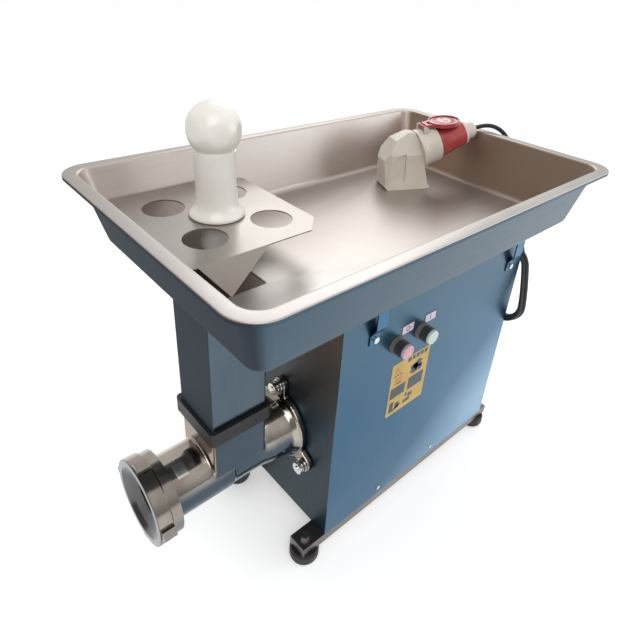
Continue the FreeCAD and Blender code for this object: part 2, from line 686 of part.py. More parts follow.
# ---- motor --------------------------------------------------------------------------------
def motor_stator():
    """Finned motor barrel with its mounting foot."""
    y, z = MOTOR_Y, MOTOR_Z
    x0, x1 = MOTOR_X0 + 14, MOTOR_X1 - 60
    shell = tube_x(MOTOR_R - 8, MOTOR_R - 14, x0, x1, y, z)
    parts = [shell]
    for i in range(24):
        a = 360.0 * i / 24
        if 235 < a < 305:
            continue
        fin = Part.makeBox(x1 - x0, 10, 2.6, V(x0, MOTOR_R - 10, -1.3))
        fin.rotate(V(x0, 0, 0), X_AXIS, a)
        fin.translate(V(0, y, z))
        parts.append(fin)
    foot = box(x0 + 20, x1 - 20, y - 62, y + 62, RAIL_TOP + 5, RAIL_TOP + 13)
    for s in (-1, 1):
        parts.append(box(x0 + 25, x1 - 25, y + s * 46 - 5, y + s * 46 + 5, RAIL_TOP + 12,
                         z - math.sqrt((MOTOR_R - 9) ** 2 - 41 ** 2)))
    return fused(parts + [foot])


def motor_winding():
    """Laminated stator core with its end windings."""
    y, z = MOTOR_Y, MOTOR_Z
    x0, x1 = MOTOR_X0 + 14, MOTOR_X1 - 60
    core = tube_x(MOTOR_R - 14, 46, x0 + 30, x1 - 30, y, z)
    ends = tube_x(MOTOR_R - 18, 52, x0 + 14, x1 - 14, y, z)
    return fused([core, ends])


def end_shield(x0, x1, boss_x, shaft_r, y, z):
    disc = tube_x(MOTOR_R - 8, shaft_r + 14, x0, x1, y, z)
    boss = tube_x(shaft_r + 20, shaft_r + 12.0, min(boss_x, x0), max(boss_x, x1), y, z)
    return fused([disc, boss])


def front_shield():
    return end_shield(MOTOR_X0 + 4, MOTOR_X0 + 14, MOTOR_X0 + 24, 14, MOTOR_Y, MOTOR_Z).fuse(
        tube_x(44, 30, MOTOR_X0 - 3, MOTOR_X0 + 5, MOTOR_Y, MOTOR_Z)).removeSplitter()


def rear_shield():
    x = MOTOR_X1 - 60
    return end_shield(x, x + 10, x - 10, 14, MOTOR_Y, MOTOR_Z)


def motor_bearings():
    gap = 0.05
    x = MOTOR_X1 - 60
    return group([bearing(MOTOR_X0 + 7, 15, 26, 14 + gap, MOTOR_Y, MOTOR_Z),
                  bearing(x - 6, 14, 26, 14 + gap, MOTOR_Y, MOTOR_Z)])


def motor_rotor():
    y, z = MOTOR_Y, MOTOR_Z
    shaft = rod_x(14, FAST_X - 3, MOTOR_X1 - 18, y, z)
    core = rod_x(45.4, MOTOR_X0 + 44, MOTOR_X1 - 90, y, z)
    return fused([shaft, core])


def motor_fan():
    y, z = MOTOR_Y, MOTOR_Z
    x0 = MOTOR_X1 - 44
    parts = [tube_x(24, 14, x0, x0 + 24, y, z), tube_x(60, 20, x0, x0 + 3, y, z)]
    for i in range(8):
        blade = Part.makeBox(22, 42, 2.5, V(x0 + 1, 20, -1.25))
        blade.rotate(V(x0, 0, 0), X_AXIS, 45 * i)
        blade.translate(V(0, y, z))
        parts.append(blade)
    return fused(parts)


def fan_cowl():
    y, z = MOTOR_Y, MOTOR_Z
    x0, x1 = MOTOR_X1 - 60, MOTOR_X1
    skirt = tube_x(MOTOR_R - 6, MOTOR_R - 8, x0, x1, y, z)
    end = rod_x(MOTOR_R - 7, x1 - 2, x1, y, z)
    slots = []
    for i in range(-3, 4):
        half = math.sqrt(66.0 ** 2 - (i * 16.0) ** 2)
        slots.append(box(x1 - 5, x1 + 1, y - half, y + half, z + i * 16 - 4, z + i * 16 + 4))
    return fused([skirt, end]).cut(slots)


def terminal_box():
    """Connection box on the top of the motor."""
    y, z = MOTOR_Y, MOTOR_Z
    x0 = MOTOR_X0 + 40
    top = z + MOTOR_R + 36
    outer = box(x0, x0 + 90, y - 38, y + 38, z + MOTOR_R, top)
    inner = box(x0 + 3, x0 + 87, y - 35, y + 35, z + MOTOR_R + 4, top - 3)
    return outer.cut(inner)


# ---- electrics ------------------------------------------------------------------------------
def contact_blocks():
    """Switch blocks clipped behind the panel, one for each button."""
    blocks = []
    for x in (STOP_X, START_X):
        y0 = -PANEL_Y + PANEL_T
        block = box(x - 15, x + 15, y0 + 12, y0 + 52, BUTTON_Z - 20, BUTTON_Z + 20)
        collar = tube_x(14, 11.0, 0, 10, 0, 0)
        collar.rotate(V(0, 0, 0), Z_AXIS, 90)
        collar.translate(V(x, y0 + 2, BUTTON_Z))
        blocks.append(fused([block, collar]))
    return group(blocks)


def contactor():
    """Motor contactor with its overload relay on a rail plate."""
    x, y, z = BODY_X0 + 330.0, PANEL_Y - PANEL_T, 470.0
    plate = box(x - 60, x + 60, y - 3, y, z - 80, z + 80)
    block = box(x - 26, x + 26, y - 84, y - 3, z - 10, z + 66)
    relay = box(x - 24, x + 24, y - 74, y - 3, z - 62, z - 12)
    return fused([plate, block, relay])


BOOT_L = 26.0
BOOT_R = 17.5
CAP_R = 15.5
CAP_OUT = 33.0
PRESS = 3.5


def button_housing(x):
    """Dark tubular button body on the outside of the panel, with its threaded neck."""
    y1 = -PANEL_Y
    sleeve = rod_y(BOOT_R, y1 - BOOT_L, y1, x, BUTTON_Z)
    washer = rod_y(BOOT_R + 2.0, y1 - 3, y1, x, BUTTON_Z)
    neck = rod_y(10.8, y1 - 1, y1 + PANEL_T + 8, x, BUTTON_Z)
    bore = rod_y(CAP_R + RUN_GAP, y1 - BOOT_L - 1, y1 - 8, x, BUTTON_Z)
    stem = rod_y(4.4, y1 - BOOT_L, y1 + 20, x, BUTTON_Z)
    return fused([sleeve, washer, neck]).cut([bore, stem])


def button_cap(x):
    """Pressed cap with a short stem; it moves along +Y into its housing."""
    y1 = -PANEL_Y
    head = rod_y(CAP_R, y1 - CAP_OUT, y1 - 8 - PRESS - 3, x, BUTTON_Z)
    head = head.makeFillet(2.0, [e for e in head.Edges
                                 if abs(e.BoundBox.YMax - (y1 - CAP_OUT)) < 1e-6])
    stem = rod_y(4.0, y1 - 8 - PRESS - 4, y1 + PANEL_T + 6, x, BUTTON_Z)
    return fused([head, stem])


def label_plates():
    """Thin plates above the two buttons."""
    plates = []
    for x, z in ((STOP_X + 30, BUTTON_Z + 24), (START_X + 24, BUTTON_Z + 22)):
        plate = box(x - 18, x + 18, -PANEL_Y - 0.8, -PANEL_Y, z - 10, z + 12)
        rings = [rod_y(BOOT_R + 2.3, -PANEL_Y - 1, -PANEL_Y, b, BUTTON_Z) for b in (STOP_X, START_X)]
        plates.append(plate.cut(rings))
    return group(plates)


def notice_plate():
    """Thin plate below the buttons."""
    x0, z0 = TRAY_X - 19.0, RIM_TOP - 500.0
    return box(x0, x0 + 118, -PANEL_Y - 0.8, -PANEL_Y, z0, z0 + 142)


def head_tag():
    """Small blank plate on the barrel."""
    pts = []
    half_a = 13.0
    outer, inner = BARREL_R + 0.9, BARREL_R
    for i in range(7):
        a = math.radians(90 + 24 - half_a + 2 * half_a * i / 6)
        pts.append((outer * math.cos(a), AXIS_Z + outer * math.sin(a)))
    for i in reversed(range(7)):
        a = math.radians(90 + 24 - half_a + 2 * half_a * i / 6)
        pts.append((inner * math.cos(a), AXIS_Z + inner * math.sin(a)))
    tag = prism_x(pts, BARREL_X0 + 34, BARREL_X0 + 54)
    return tag.cut(rod_x(BARREL_R, BARREL_X0, BARREL_X0 + 90))


# ---- cord, plug and socket ---------------------------------------------------------------------
COIL_X = TRAY_X + 429.0    # the hanging coil is a tall oval that leans a little
COIL_Y = -124.0
COIL_Z = RIM_TOP - 338.5
COIL_HALF_W = 47.4
COIL_END_R = 45.0
COIL_END_Z = 51.5
COIL_LEAN = -9.7
COIL_THICK = 12.2
JBOX_X1 = BODY_X1 + 34.0
PLUG_ANGLE = -24.0
PLUG_TILT = 17.6
PLUG_END = V(TRAY_X + 417.0, 42.2, RIM_TOP + 6.0)


def plug_axis():
    a, e = math.radians(PLUG_ANGLE), math.radians(PLUG_TILT)
    return V(math.cos(a) * math.cos(e), math.sin(a) * math.cos(e), math.sin(e))


def in_coil(y, z):
    """Point of the coil's plane, from its middle and along its own leaning axes."""
    lean = math.radians(COIL_LEAN)
    return V(COIL_X, COIL_Y + y * math.cos(lean) - z * math.sin(lean),
             COIL_Z + y * math.sin(lean) + z * math.cos(lean))


def coil_hook():
    """Bent rod on the rear panel that the coiled cord hangs on."""
    top = in_coil(0, COIL_END_Z + COIL_END_R)
    z = top.z - COIL_THICK - 4.8
    tip = V(RIM_X1 - 4, top.y, z)
    arm = rod_x(4, BODY_X1, tip.x, tip.y, z)
    up = rod_z(4, z, z + 26, tip.x, tip.y)
    base = rod_x(9, BODY_X1, BODY_X1 + 2, tip.y, z)
    return fused([arm, up, base, Part.makeSphere(4, tip), Part.makeSphere(4, tip + V(0, 0, 26))])


def junction_box():
    """Box on the rear panel where the cord enters."""
    outer = box(BODY_X1, JBOX_X1, GLAND_Y - 30, GLAND_Y + 30, JBOX_Z - 34, JBOX_Z + 34)
    inner = box(BODY_X1 + 3, JBOX_X1 - 3, GLAND_Y - 27, GLAND_Y + 27, JBOX_Z - 31, JBOX_Z + 31)
    hole = rod_z(7, JBOX_Z - 40, JBOX_Z, BODY_X1 + 18, GLAND_Y)
    wires = rod_x(9, BODY_X1 - 1, BODY_X1 + 5, GLAND_Y, JBOX_Z)
    return outer.cut([inner, hole, wires])


GLAND_TIP = JBOX_Z - 34.0 - 44.0


def cable_gland():
    """Nut and tapered sleeve that the cord leaves by, pointing down."""
    top = JBOX_Z - 34.0
    x = BODY_X1 + 18.0
    nut = hex_z(20, top - 12, top, x, GLAND_Y)
    sleeve = revolve_z([(CABLE_D / 2, top - 12), (10, top - 12), (9.5, top - 20),
                        (7.2, GLAND_TIP), (CABLE_D / 2, GLAND_TIP)], x, GLAND_Y)
    neck = rod_z(6.8, top, top + 8, x, GLAND_Y)
    bore = rod_z(CABLE_D / 2, GLAND_TIP - 1, top + 9, x, GLAND_Y)
    return fused([nut, sleeve, neck]).cut(bore)


def route_solid(points, name):
    """Tube along straight runs joined by tangent arcs; returns the solid and its length."""
    edges = []
    here = points[0]
    length = 0.0
    radii = []
    for i in range(1, len(points) - 1):
        a, b, c = points[i - 1], points[i], points[i + 1]
        u, w = (a - b), (c - b)
        run = min(u.Length, w.Length)
        turn = math.pi - u.getAngle(w)
        radius = 0.45 * run / math.tan(turn / 2)
        radii.append(round(radius, 1))
        cut = 0.45 * run
        u.normalize()
        w.normalize()
        start, end = b + u * cut, b + w * cut
        bis = (u + w).normalize()
        centre = b + bis * (radius / math.cos(turn / 2))
        middle = centre + (b - centre).normalize() * radius
        edges.append(Part.LineSegment(here, start).toShape())
        edges.append(Part.Arc(start, middle, end).toShape())
        here = end
    edges.append(Part.LineSegment(here, points[-1]).toShape())
    path = Part.Wire(edges)
    length = path.Length
    start_dir = (points[1] - points[0]).normalize()
    ring = Part.Wire(Part.Circle(points[0], start_dir, CABLE_D / 2).toShape())
    tube = path.makePipeShell([ring], True, True)
    area = math.pi * (CABLE_D / 2) ** 2
    print(name, "length", round(length, 1), "radii", radii,
          "volume ratio", round(tube.Volume / (area * length), 4))
    return tube


LEAD_IN = [
    V(BODY_X1 + 18.0, GLAND_Y, GLAND_TIP),
    V(BODY_X1 + 17.3, GLAND_Y - 1.0, GLAND_TIP - 34.0),
    V(BODY_X1 + 16.0, GLAND_Y - 10.0, GLAND_TIP - 77.0),
    V(COIL_X, GLAND_Y - 42.0, GLAND_TIP - 115.0),
    V(COIL_X, GLAND_Y - 82.0, GLAND_TIP - 131.0),
    V(COIL_X, GLAND_Y - 124.0, GLAND_TIP - 132.5),
]


def lead_out_points():
    """Route from the coil's near side, up behind the tray and over its rear rim."""
    out = plug_axis()
    falling = V(0.04, -0.55, -0.834).normalize()
    sweep = out.getAngle(falling)
    turned_by = [math.radians(a) for a in (20, 51, 82)]
    runs = [20.0, 31.0, 31.0, 31.0]
    points = [PLUG_END, PLUG_END + out * runs[0]]
    for angle, run in zip(turned_by, runs[1:]):
        way = out * (math.sin(sweep - angle) / math.sin(sweep))
        way = way + falling * (math.sin(angle) / math.sin(sweep))
        points.append(points[-1] + way * run)
    last = points[-1]
    points += [
        last + V(2.0, -24.0, -46.0),
        last + V(-6.0, -50.0, -95.0),
        last + V(-19.0, -74.0, -140.0),
        last + V(-34.0, -97.0, -183.0),
        last + V(-47.0, -118.0, -221.0),
        last + V(-54.0, -136.0, -262.0),
    ]
    points.reverse()
    return points


def cable_coil():
    """Outer shape of the hanging coil: a closed oval of four tangent arcs."""
    r, h, w = COIL_END_R, COIL_END_Z, COIL_HALF_W
    back = (h * h - (w - r) ** 2) / (2 * (w - r))
    side_r = w + back
    lean = math.atan2(h, back)
    ty, tz = side_r * math.cos(lean) - back, side_r * math.sin(lean)
    arcs = [Part.Arc(in_coil(ty, -tz), in_coil(w, 0), in_coil(ty, tz)),
            Part.Arc(in_coil(ty, tz), in_coil(0, h + r), in_coil(-ty, tz)),
            Part.Arc(in_coil(-ty, tz), in_coil(-w, 0), in_coil(-ty, -tz)),
            Part.Arc(in_coil(-ty, -tz), in_coil(0, -h - r), in_coil(ty, -tz))]
    path = Part.Wire([a.toShape() for a in arcs])
    print("coil turn length", round(path.Length, 1))
    along = in_coil(math.sin(lean), math.cos(lean)) - in_coil(0, 0)
    start = Part.Wire(Part.Circle(in_coil(ty, -tz), along, COIL_THICK).toShape())
    return path.makePipeShell([start], True, True)


def turned(profile, length_from_end):
    """Revolved piece on the plug's axis; profile is (distance back from the tip, radius)."""
    axis = plug_axis()
    pts = [V(0, r, -d) for d, r in profile]
    face = Part.Face(Part.makePolygon(pts + pts[:1]))
    solid = face.revolve(V(0, 0, 0), Z_AXIS, 360)
    solid.rotate(V(0, 0, 0), Y_AXIS, 90 - PLUG_TILT)
    solid.rotate(V(0, 0, 0), Z_AXIS, PLUG_ANGLE)
    solid.translate(PLUG_END - axis * length_from_end)
    return solid


def plug_gland_nut():
    r = CABLE_D / 2
    return turned([(0, r), (0, 11), (3, 16), (8, 19.5), (22, 20.5), (26, 20.5), (26, r)], 0)


def plug_ring():
    return turned([(26, 5), (26, 24), (28, 27.5), (34, 28.5), (34, 5)], 0)


def plug_body():
    return turned([(34, 0), (34, 27.5), (60, 31), (82, 35.5), (98, 36.5), (118, 36.5),
                   (118, 31.5), (146, 31.5), (146, 0)], 0)


COLLAR_D0 = 103.0
COLLAR_D1 = 150.0


def socket_collar():
    """Round collar of the socket; the plug's front sits inside it."""
    return turned([(COLLAR_D0, 37.2), (COLLAR_D0, 41.0), (COLLAR_D0 + 3, 42.0),
                   (COLLAR_D1 - 12, 42.5), (COLLAR_D1 - 8, 44.5), (COLLAR_D1, 44.5),
                   (COLLAR_D1, 20.0), (COLLAR_D1 - 3.7, 20.0), (COLLAR_D1 - 3.7, 32.0),
                   (118.3, 32.0), (118.3, 37.2)], 0)


SOCKET_HALF_V = 32.0


def socket_frame(u, v, w):
    """Point in the socket's own frame: u along its length, v sideways, w up from the floor."""
    a = math.radians(PLUG_ANGLE)
    base = PLUG_END - plug_axis() * COLLAR_D1
    floor = TRAY_FLOOR + SHEET + 0.2
    back = 84.0
    origin = V(base.x - back * math.cos(a), base.y - back * math.sin(a), floor)
    return V(origin.x + u * math.cos(a) - v * math.sin(a),
             origin.y + u * math.sin(a) + v * math.cos(a), floor + w)


def socket_box():
    """Surface box: sloped face that carries the collar, peaked roof and a cut-away back."""
    base = PLUG_END - plug_axis() * COLLAR_D1
    face_w = base.z - (TRAY_FLOOR + SHEET + 0.2)
    t = math.tan(math.radians(PLUG_TILT))
    half_v = SOCKET_HALF_V
    a = math.radians(PLUG_ANGLE)

    def face_u(w):
        return 84.0 - (w - face_w) * t

    peak = face_w + 42.0
    profile = [(8, 0), (face_u(8) + 4, 0), (face_u(8) + 4, 7), (face_u(12), 12),
               (face_u(peak - 14), peak - 14), (face_u(peak) - 3, peak),
               (face_u(peak) - 20, peak + 1), (20, peak - 15), (-4, peak - 60), (2, 14), (2, 6)]
    pts = [socket_frame(u, -half_v, w) for u, w in profile]
    body = Part.Face(Part.makePolygon(pts + pts[:1])).extrude(
        V(-math.sin(a) * 2 * half_v, math.cos(a) * 2 * half_v, 0))
    for v0, v1 in ((-half_v - 1, -half_v + 4.0), (half_v - 4.0, half_v + 1)):
        recess = [(14, 18), (48, 18), (44, peak - 44), (34, peak - 44), (10, peak - 66)]
        r_pts = [socket_frame(u, v0, w) for u, w in recess]
        body = body.cut(Part.Face(Part.makePolygon(r_pts + r_pts[:1])).extrude(
            V(-math.sin(a) * (v1 - v0), math.cos(a) * (v1 - v0), 0)))
    for s in (-1, 1):
        slope = [(s * (half_v + 0.1), peak - 46), (s * (half_v + 9), peak - 46),
                 (s * (half_v + 9), peak + 9), (s * 13, peak + 9), (s * 13, peak + 1)]
        r_pts = [socket_frame(-30, v, w) for v, w in slope]
        body = body.cut(Part.Face(Part.makePolygon(r_pts + r_pts[:1])).extrude(
            V(math.cos(a) * 150, math.sin(a) * 150, 0)))
    for s in (-1, 1):
        chamfer = Part.makeBox(60, 30, 220, V(-30, -15, -20))
        chamfer.rotate(V(0, 0, 0), Z_AXIS, PLUG_ANGLE + s * 45)
        corner = socket_frame(-2, s * half_v, 0)
        away = socket_frame(-12, s * (half_v + 10), 0) - corner
        chamfer.translate(corner + away * 0.55)
        body = body.cut(chamfer)
    return body


HINGE_OUT = 44.5
HINGE_BACK = 128.0


def plug_point(back, side, up):
    """Point back from the plug's tip, sideways and upwards across its axis."""
    axis = plug_axis()
    side_dir = V(-math.sin(math.radians(PLUG_ANGLE)), math.cos(math.radians(PLUG_ANGLE)), 0)
    up_dir = axis.cross(side_dir)
    if up_dir.z < 0:
        up_dir = up_dir * -1
    return PLUG_END - axis * back + side_dir * side + up_dir * up


def along_plug(shape, at):
    """Turns a shape drawn with +X towards the plug's tip into its place at a point."""
    shape.rotate(V(0, 0, 0), Y_AXIS, -PLUG_TILT)
    shape.rotate(V(0, 0, 0), Z_AXIS, PLUG_ANGLE)
    shape.translate(at)
    return shape


LID_TILT = -10.5
LID_PIVOT_R = 4.2


def socket_lid():
    """Sprung round lid with a forked arm, held open by the plug under it."""
    disc_x = 53.0
    dome = Part.makeSphere(95, V(disc_x, 0, -86)).common(Part.makeCylinder(36, 30, V(disc_x, 0, 4)))
    rim = Part.makeCylinder(36, 9, V(disc_x, 0, -1)).cut(
        Part.makeCylinder(33.5, 12, V(disc_x, 0, -4)))
    plate = Part.makeCylinder(36, 3.5, V(disc_x, 0, 2))
    arm = prism_z([(3, -14.8), (12, -14.8), (disc_x - 20, -26), (disc_x - 20, 26), (12, 14.8),
                   (3, 14.8)], -0.5, 6)
    window = prism_z([(11, -8), (disc_x - 37, -10), (disc_x - 37, 10), (11, 8)], -3, 8)
    barrel = Part.makeCylinder(LID_PIVOT_R, 29.6, V(0, -14.8, 0), Y_AXIS)
    web = box(0, 10, -14.8, 14.8, -1.0, 3.5)
    lid = fused([plate, rim, arm.cut(window), dome, web, barrel])
    lid = lid.cut(Part.makeCylinder(2.09, 40, V(0, -20, 0), Y_AXIS))
    lid.rotate(V(0, 0, 0), Y_AXIS, -LID_TILT)
    return along_plug(lid, plug_point(HINGE_BACK, 0, HINGE_OUT + 4.0))


def lid_hinge_pin():
    """Pin with the two ears of the collar that hold it."""
    pin = Part.makeCylinder(2.0, 41, V(0, -20.5, 0), Y_AXIS)
    ears = []
    for y in (-20.5, 15.5):
        ear = prism_y([(-7, -9.5), (7, -9.5), (4.5, 1.5), (0, 4.6), (-4.5, 1.5)], y, y + 5)
        ears.append(ear)
    return along_plug(fused([pin] + ears), plug_point(HINGE_BACK, 0, HINGE_OUT + 4.0))


def make_nodes():
    motor_shields = group([front_shield(), rear_shield()])
    bearings = group([output_bearings(), mid_bearings(), motor_bearings()])
    return {
        "tray": tray(),
        "feed_chute": feed_chute(),
        "chute_gasket": chute_gasket(),
        "guard_plate": guard_plate(),
        "pusher": pusher(),
        "control_side_panel": side_panel(-1),
        "far_side_panel": side_panel(1),
        "front_panel": front_panel(),
        "rear_panel": rear_panel(),
        "top_plate": top_plate(),
        "base_frame": base_frame(),
        "floor_plate": floor_plate(),
        "rubber_feet": rubber_feet(),
        "foot_nuts": foot_bolts(),
        "tray_brackets": tray_brackets(),
        "panel_bolts": group([bracket_bolts(), panel_screws()]),
        "head_housing": head_housing(),
        "plate_pin": plate_pin(),
        "head_tag": head_tag(),
        "orifice_plate": orifice_plate(),
        "ring_nut": ring_nut(),
        "knife": knife(),
        "auger": auger(),
        "shaft_seals": group([shaft_seal(), output_oil_seal()]),
        "head_studs": head_studs(),
        "head_nuts": head_nuts(),
        "gearbox_case": gearbox_case(),
        "gearbox_cover": gearbox_cover(),
        "output_gear": output_gear(),
        "output_shaft": output_shaft(),
        "mid_shaft": mid_shaft(),
        "mid_gear": mid_gear(),
        "shaft_bearings": bearings,
        "motor_pinion": motor_pinion(),
        "motor_rotor": motor_rotor(),
        "motor_fan": motor_fan(),
        "motor_housing": motor_stator(),
        "motor_winding": motor_winding(),
        "motor_shields": motor_shields,
        "fan_cowl": fan_cowl(),
        "terminal_box": terminal_box(),
        "stop_button": button_cap(STOP_X),
        "start_button": button_cap(START_X),
        "button_housings": group([button_housing(STOP_X), button_housing(START_X)]),
        "contact_blocks": contact_blocks(),
        "contactor": contactor(),
        "notice_plates": group([label_plates(), notice_plate()]),
        "coil_hook": coil_hook(),
        "junction_box": junction_box(),
        "cable_gland": cable_gland(),
        "power_cable": group([route_solid(LEAD_IN, "lead in"),
                              route_solid(lead_out_points(), "lead out")]),
        "cable_coil": cable_coil(),
        "plug_body": plug_body(),
        "plug_ring": plug_ring(),
        "plug_gland_nut": plug_gland_nut(),
        "socket_box": socket_box(),
        "socket_collar": socket_collar(),
        "socket_lid": socket_lid(),
        "lid_hinge_pin": lid_hinge_pin(),
    }


os.makedirs("parts", exist_ok=True)
NODES = make_nodes()
print(len(NODES), "nodes")
for name, shape in NODES.items():
    if not shape.isValid():
        print("INVALID", name)
    shape.exportStep("parts/" + name + ".step")
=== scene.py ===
"""Electric meat grinder: materials, cord, detailed pieces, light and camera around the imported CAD.

X runs along the machine and the head points to -X, -Y is the side with the buttons, Z is up.
Lengths in the piece functions are in millimetres and become metres where they meet MM.
"""
import bpy
import bmesh
import math
from collections import namedtuple
from mathutils import Matrix, Vector


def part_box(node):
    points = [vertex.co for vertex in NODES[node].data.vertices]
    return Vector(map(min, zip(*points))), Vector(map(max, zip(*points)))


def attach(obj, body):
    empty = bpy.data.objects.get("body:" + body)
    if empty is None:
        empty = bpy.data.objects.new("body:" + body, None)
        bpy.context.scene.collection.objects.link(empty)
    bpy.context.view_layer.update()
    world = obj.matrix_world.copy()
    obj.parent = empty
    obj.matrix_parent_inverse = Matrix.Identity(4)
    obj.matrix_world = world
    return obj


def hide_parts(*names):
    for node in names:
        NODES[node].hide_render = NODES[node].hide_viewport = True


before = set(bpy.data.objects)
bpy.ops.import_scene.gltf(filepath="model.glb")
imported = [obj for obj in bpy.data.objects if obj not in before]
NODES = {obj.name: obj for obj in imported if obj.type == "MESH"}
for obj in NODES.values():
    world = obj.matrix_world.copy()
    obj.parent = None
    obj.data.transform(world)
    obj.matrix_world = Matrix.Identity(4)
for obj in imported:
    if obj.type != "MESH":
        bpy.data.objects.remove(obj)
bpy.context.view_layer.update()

MM = 0.001
TAU = 2 * math.pi
TO_HEAD = (-1, 0, 0)
TO_CORD = (1, 0, 0)
TO_USER = (0, -1, 0)
UP = (0, 0, 1)
DOWN = (0, 0, -1)


# ---- camera, fitted to the photograph --------------------------------------------
CAMERA_PLACE = (-0.6723, -0.6463, 1.1405)
AZIMUTH, ELEVATION, ROLL = -43.8675, 29.0102, 4.1284
LENS, SENSOR = 30.17, 36.0
SHIFT_X, SHIFT_Y = -0.0123, -0.1009


def make_camera():
    """Azimuth 0 looks from -Y, and a negative one from nearer to -X."""
    az, el, roll = (math.radians(v) for v in (AZIMUTH, ELEVATION, ROLL))
    back = Vector((math.sin(az) * math.cos(el), -math.cos(az) * math.cos(el), math.sin(el)))
    level = Vector(UP).cross(back).normalized()
    upright = back.cross(level)
    right = level * math.cos(roll) + upright * math.sin(roll)
    top = upright * math.cos(roll) - level * math.sin(roll)
    data = bpy.data.cameras.new("camera")
    data.lens = LENS
    data.sensor_width = SENSOR
    data.shift_x = SHIFT_X
    data.shift_y = SHIFT_Y
    cam = bpy.data.objects.new("camera", data)
    bpy.context.scene.collection.objects.link(cam)
    turn = Matrix((right, top, back)).transposed().to_4x4()
    turn.translation = Vector(CAMERA_PLACE)
    cam.matrix_world = turn
    bpy.context.scene.camera = cam


make_camera()


# ---- shader building blocks --------------------------------------------------------
def nodes_of(name):
    """New material with its node tree and its shader."""
    mat = bpy.data.materials.new(name)
    mat.use_nodes = True
    nt = mat.node_tree
    return mat, nt, nt.nodes["Principled BSDF"]


def add(nt, kind, **settings):
    node = nt.nodes.new(kind)
    for key, value in settings.items():
        setattr(node, key, value)
    return node


def coords(nt, scale=(1, 1, 1)):
    """Place on the piece, in metres, stretched by scale."""
    tc = add(nt, "ShaderNodeTexCoord")
    mapping = add(nt, "ShaderNodeMapping")
    mapping.inputs["Scale"].default_value = scale
    nt.links.new(tc.outputs["Object"], mapping.inputs["Vector"])
    return mapping.outputs["Vector"]


def ramp(nt, fac, stops):
    """Colours by position; each stop is (position, colour)."""
    node = add(nt, "ShaderNodeValToRGB")
    elements = node.color_ramp.elements
    while len(elements) < len(stops):
        elements.new(0.5)
    for element, (position, colour) in zip(elements, stops):
        element.position = position
        element.color = (*colour, 1)
    nt.links.new(fac, node.inputs["Fac"])
    return node.outputs["Color"]


def noise_fac(nt, vec, scale, detail=3.0, rough=0.5):
    node = add(nt, "ShaderNodeTexNoise")
    node.inputs["Scale"].default_value = scale
    node.inputs["Detail"].default_value = detail
    node.inputs["Roughness"].default_value = rough
    nt.links.new(vec, node.inputs["Vector"])
    return node.outputs["Fac"]


def grain_fac(nt, stretch):
    """Fine brushed grain; the axis with the smallest stretch is the one it runs along."""
    return noise_fac(nt, coords(nt, stretch), 14.0, 4.0, 0.65)


def bump(nt, bsdf, fac, strength, distance):
    node = add(nt, "ShaderNodeBump")
    node.inputs["Strength"].default_value = strength
    node.inputs["Distance"].default_value = distance
    nt.links.new(fac, node.inputs["Height"])
    nt.links.new(node.outputs["Normal"], bsdf.inputs["Normal"])


def grey(v):
    return (v, v, v)


def remap(nt, value, low, high):
    """0 at low to 1 at high."""
    node = add(nt, "ShaderNodeMapRange")
    node.inputs["From Min"].default_value = low
    node.inputs["From Max"].default_value = high
    nt.links.new(value, node.inputs["Value"])
    return node.outputs["Result"]


def reach(nt, output, direction, low, high):
    """0 to 1 with how far a texture coordinate reaches along a direction."""
    tc = add(nt, "ShaderNodeTexCoord")
    dot = add(nt, "ShaderNodeVectorMath", operation="DOT_PRODUCT")
    dot.inputs[1].default_value = direction
    nt.links.new(tc.outputs[output], dot.inputs[0])
    return remap(nt, dot.outputs["Value"], low, high)


def facing(nt, direction, low, high):
    """0 to 1 as a surface turns towards a direction of the object's own space."""
    return reach(nt, "Normal", direction, low, high)


def along(nt, direction, low, high):
    """0 to 1 with the place along a direction, in metres."""
    return reach(nt, "Object", direction, low, high)


def outward(nt, centre):
    """How far a wall stands off an upright line at centre, below zero where it faces inwards."""
    tc = add(nt, "ShaderNodeTexCoord")
    flat = add(nt, "ShaderNodeVectorMath", operation="MULTIPLY_ADD")
    nt.links.new(tc.outputs["Object"], flat.inputs[0])
    flat.inputs[1].default_value = (1, 1, 0)
    flat.inputs[2].default_value = (-centre[0], -centre[1], 0)
    dot = add(nt, "ShaderNodeVectorMath", operation="DOT_PRODUCT")
    nt.links.new(flat.outputs["Vector"], dot.inputs[0])
    nt.links.new(tc.outputs["Normal"], dot.inputs[1])
    return dot.outputs["Value"]


def maths(nt, operation, a, b):
    node = add(nt, "ShaderNodeMath", operation=operation)
    nt.links.new(a, node.inputs[0])
    nt.links.new(b, node.inputs[1])
    return node.outputs[0]


def mixed(nt, fac, a, b, blend="MIX"):
    """Mix of two colours; each argument is a number, a colour or a node's output."""
    node = add(nt, "ShaderNodeMix", data_type="RGBA", blend_type=blend)
    for socket, value in ((node.inputs[0], fac), (node.inputs[6], a), (node.inputs[7], b)):
        if isinstance(value, (int, float)):
            socket.default_value = value
        elif isinstance(value, tuple):
            socket.default_value = (*value, 1)
        else:
            nt.links.new(value, socket)
    return node.outputs[2]


# ---- kinds of material -------------------------------------------------------------
Side = namedtuple("Side", "direction low high colour")
Fade = namedtuple("Fade", "direction start end colour")
PaintedInside = namedtuple("PaintedInside", "centre colour")
SIDE_STRENGTH = 0.85
GRAIN_DEPTH = 0.00006
DULL_ROUGHNESS, DULL_METAL = 0.85, 0.2


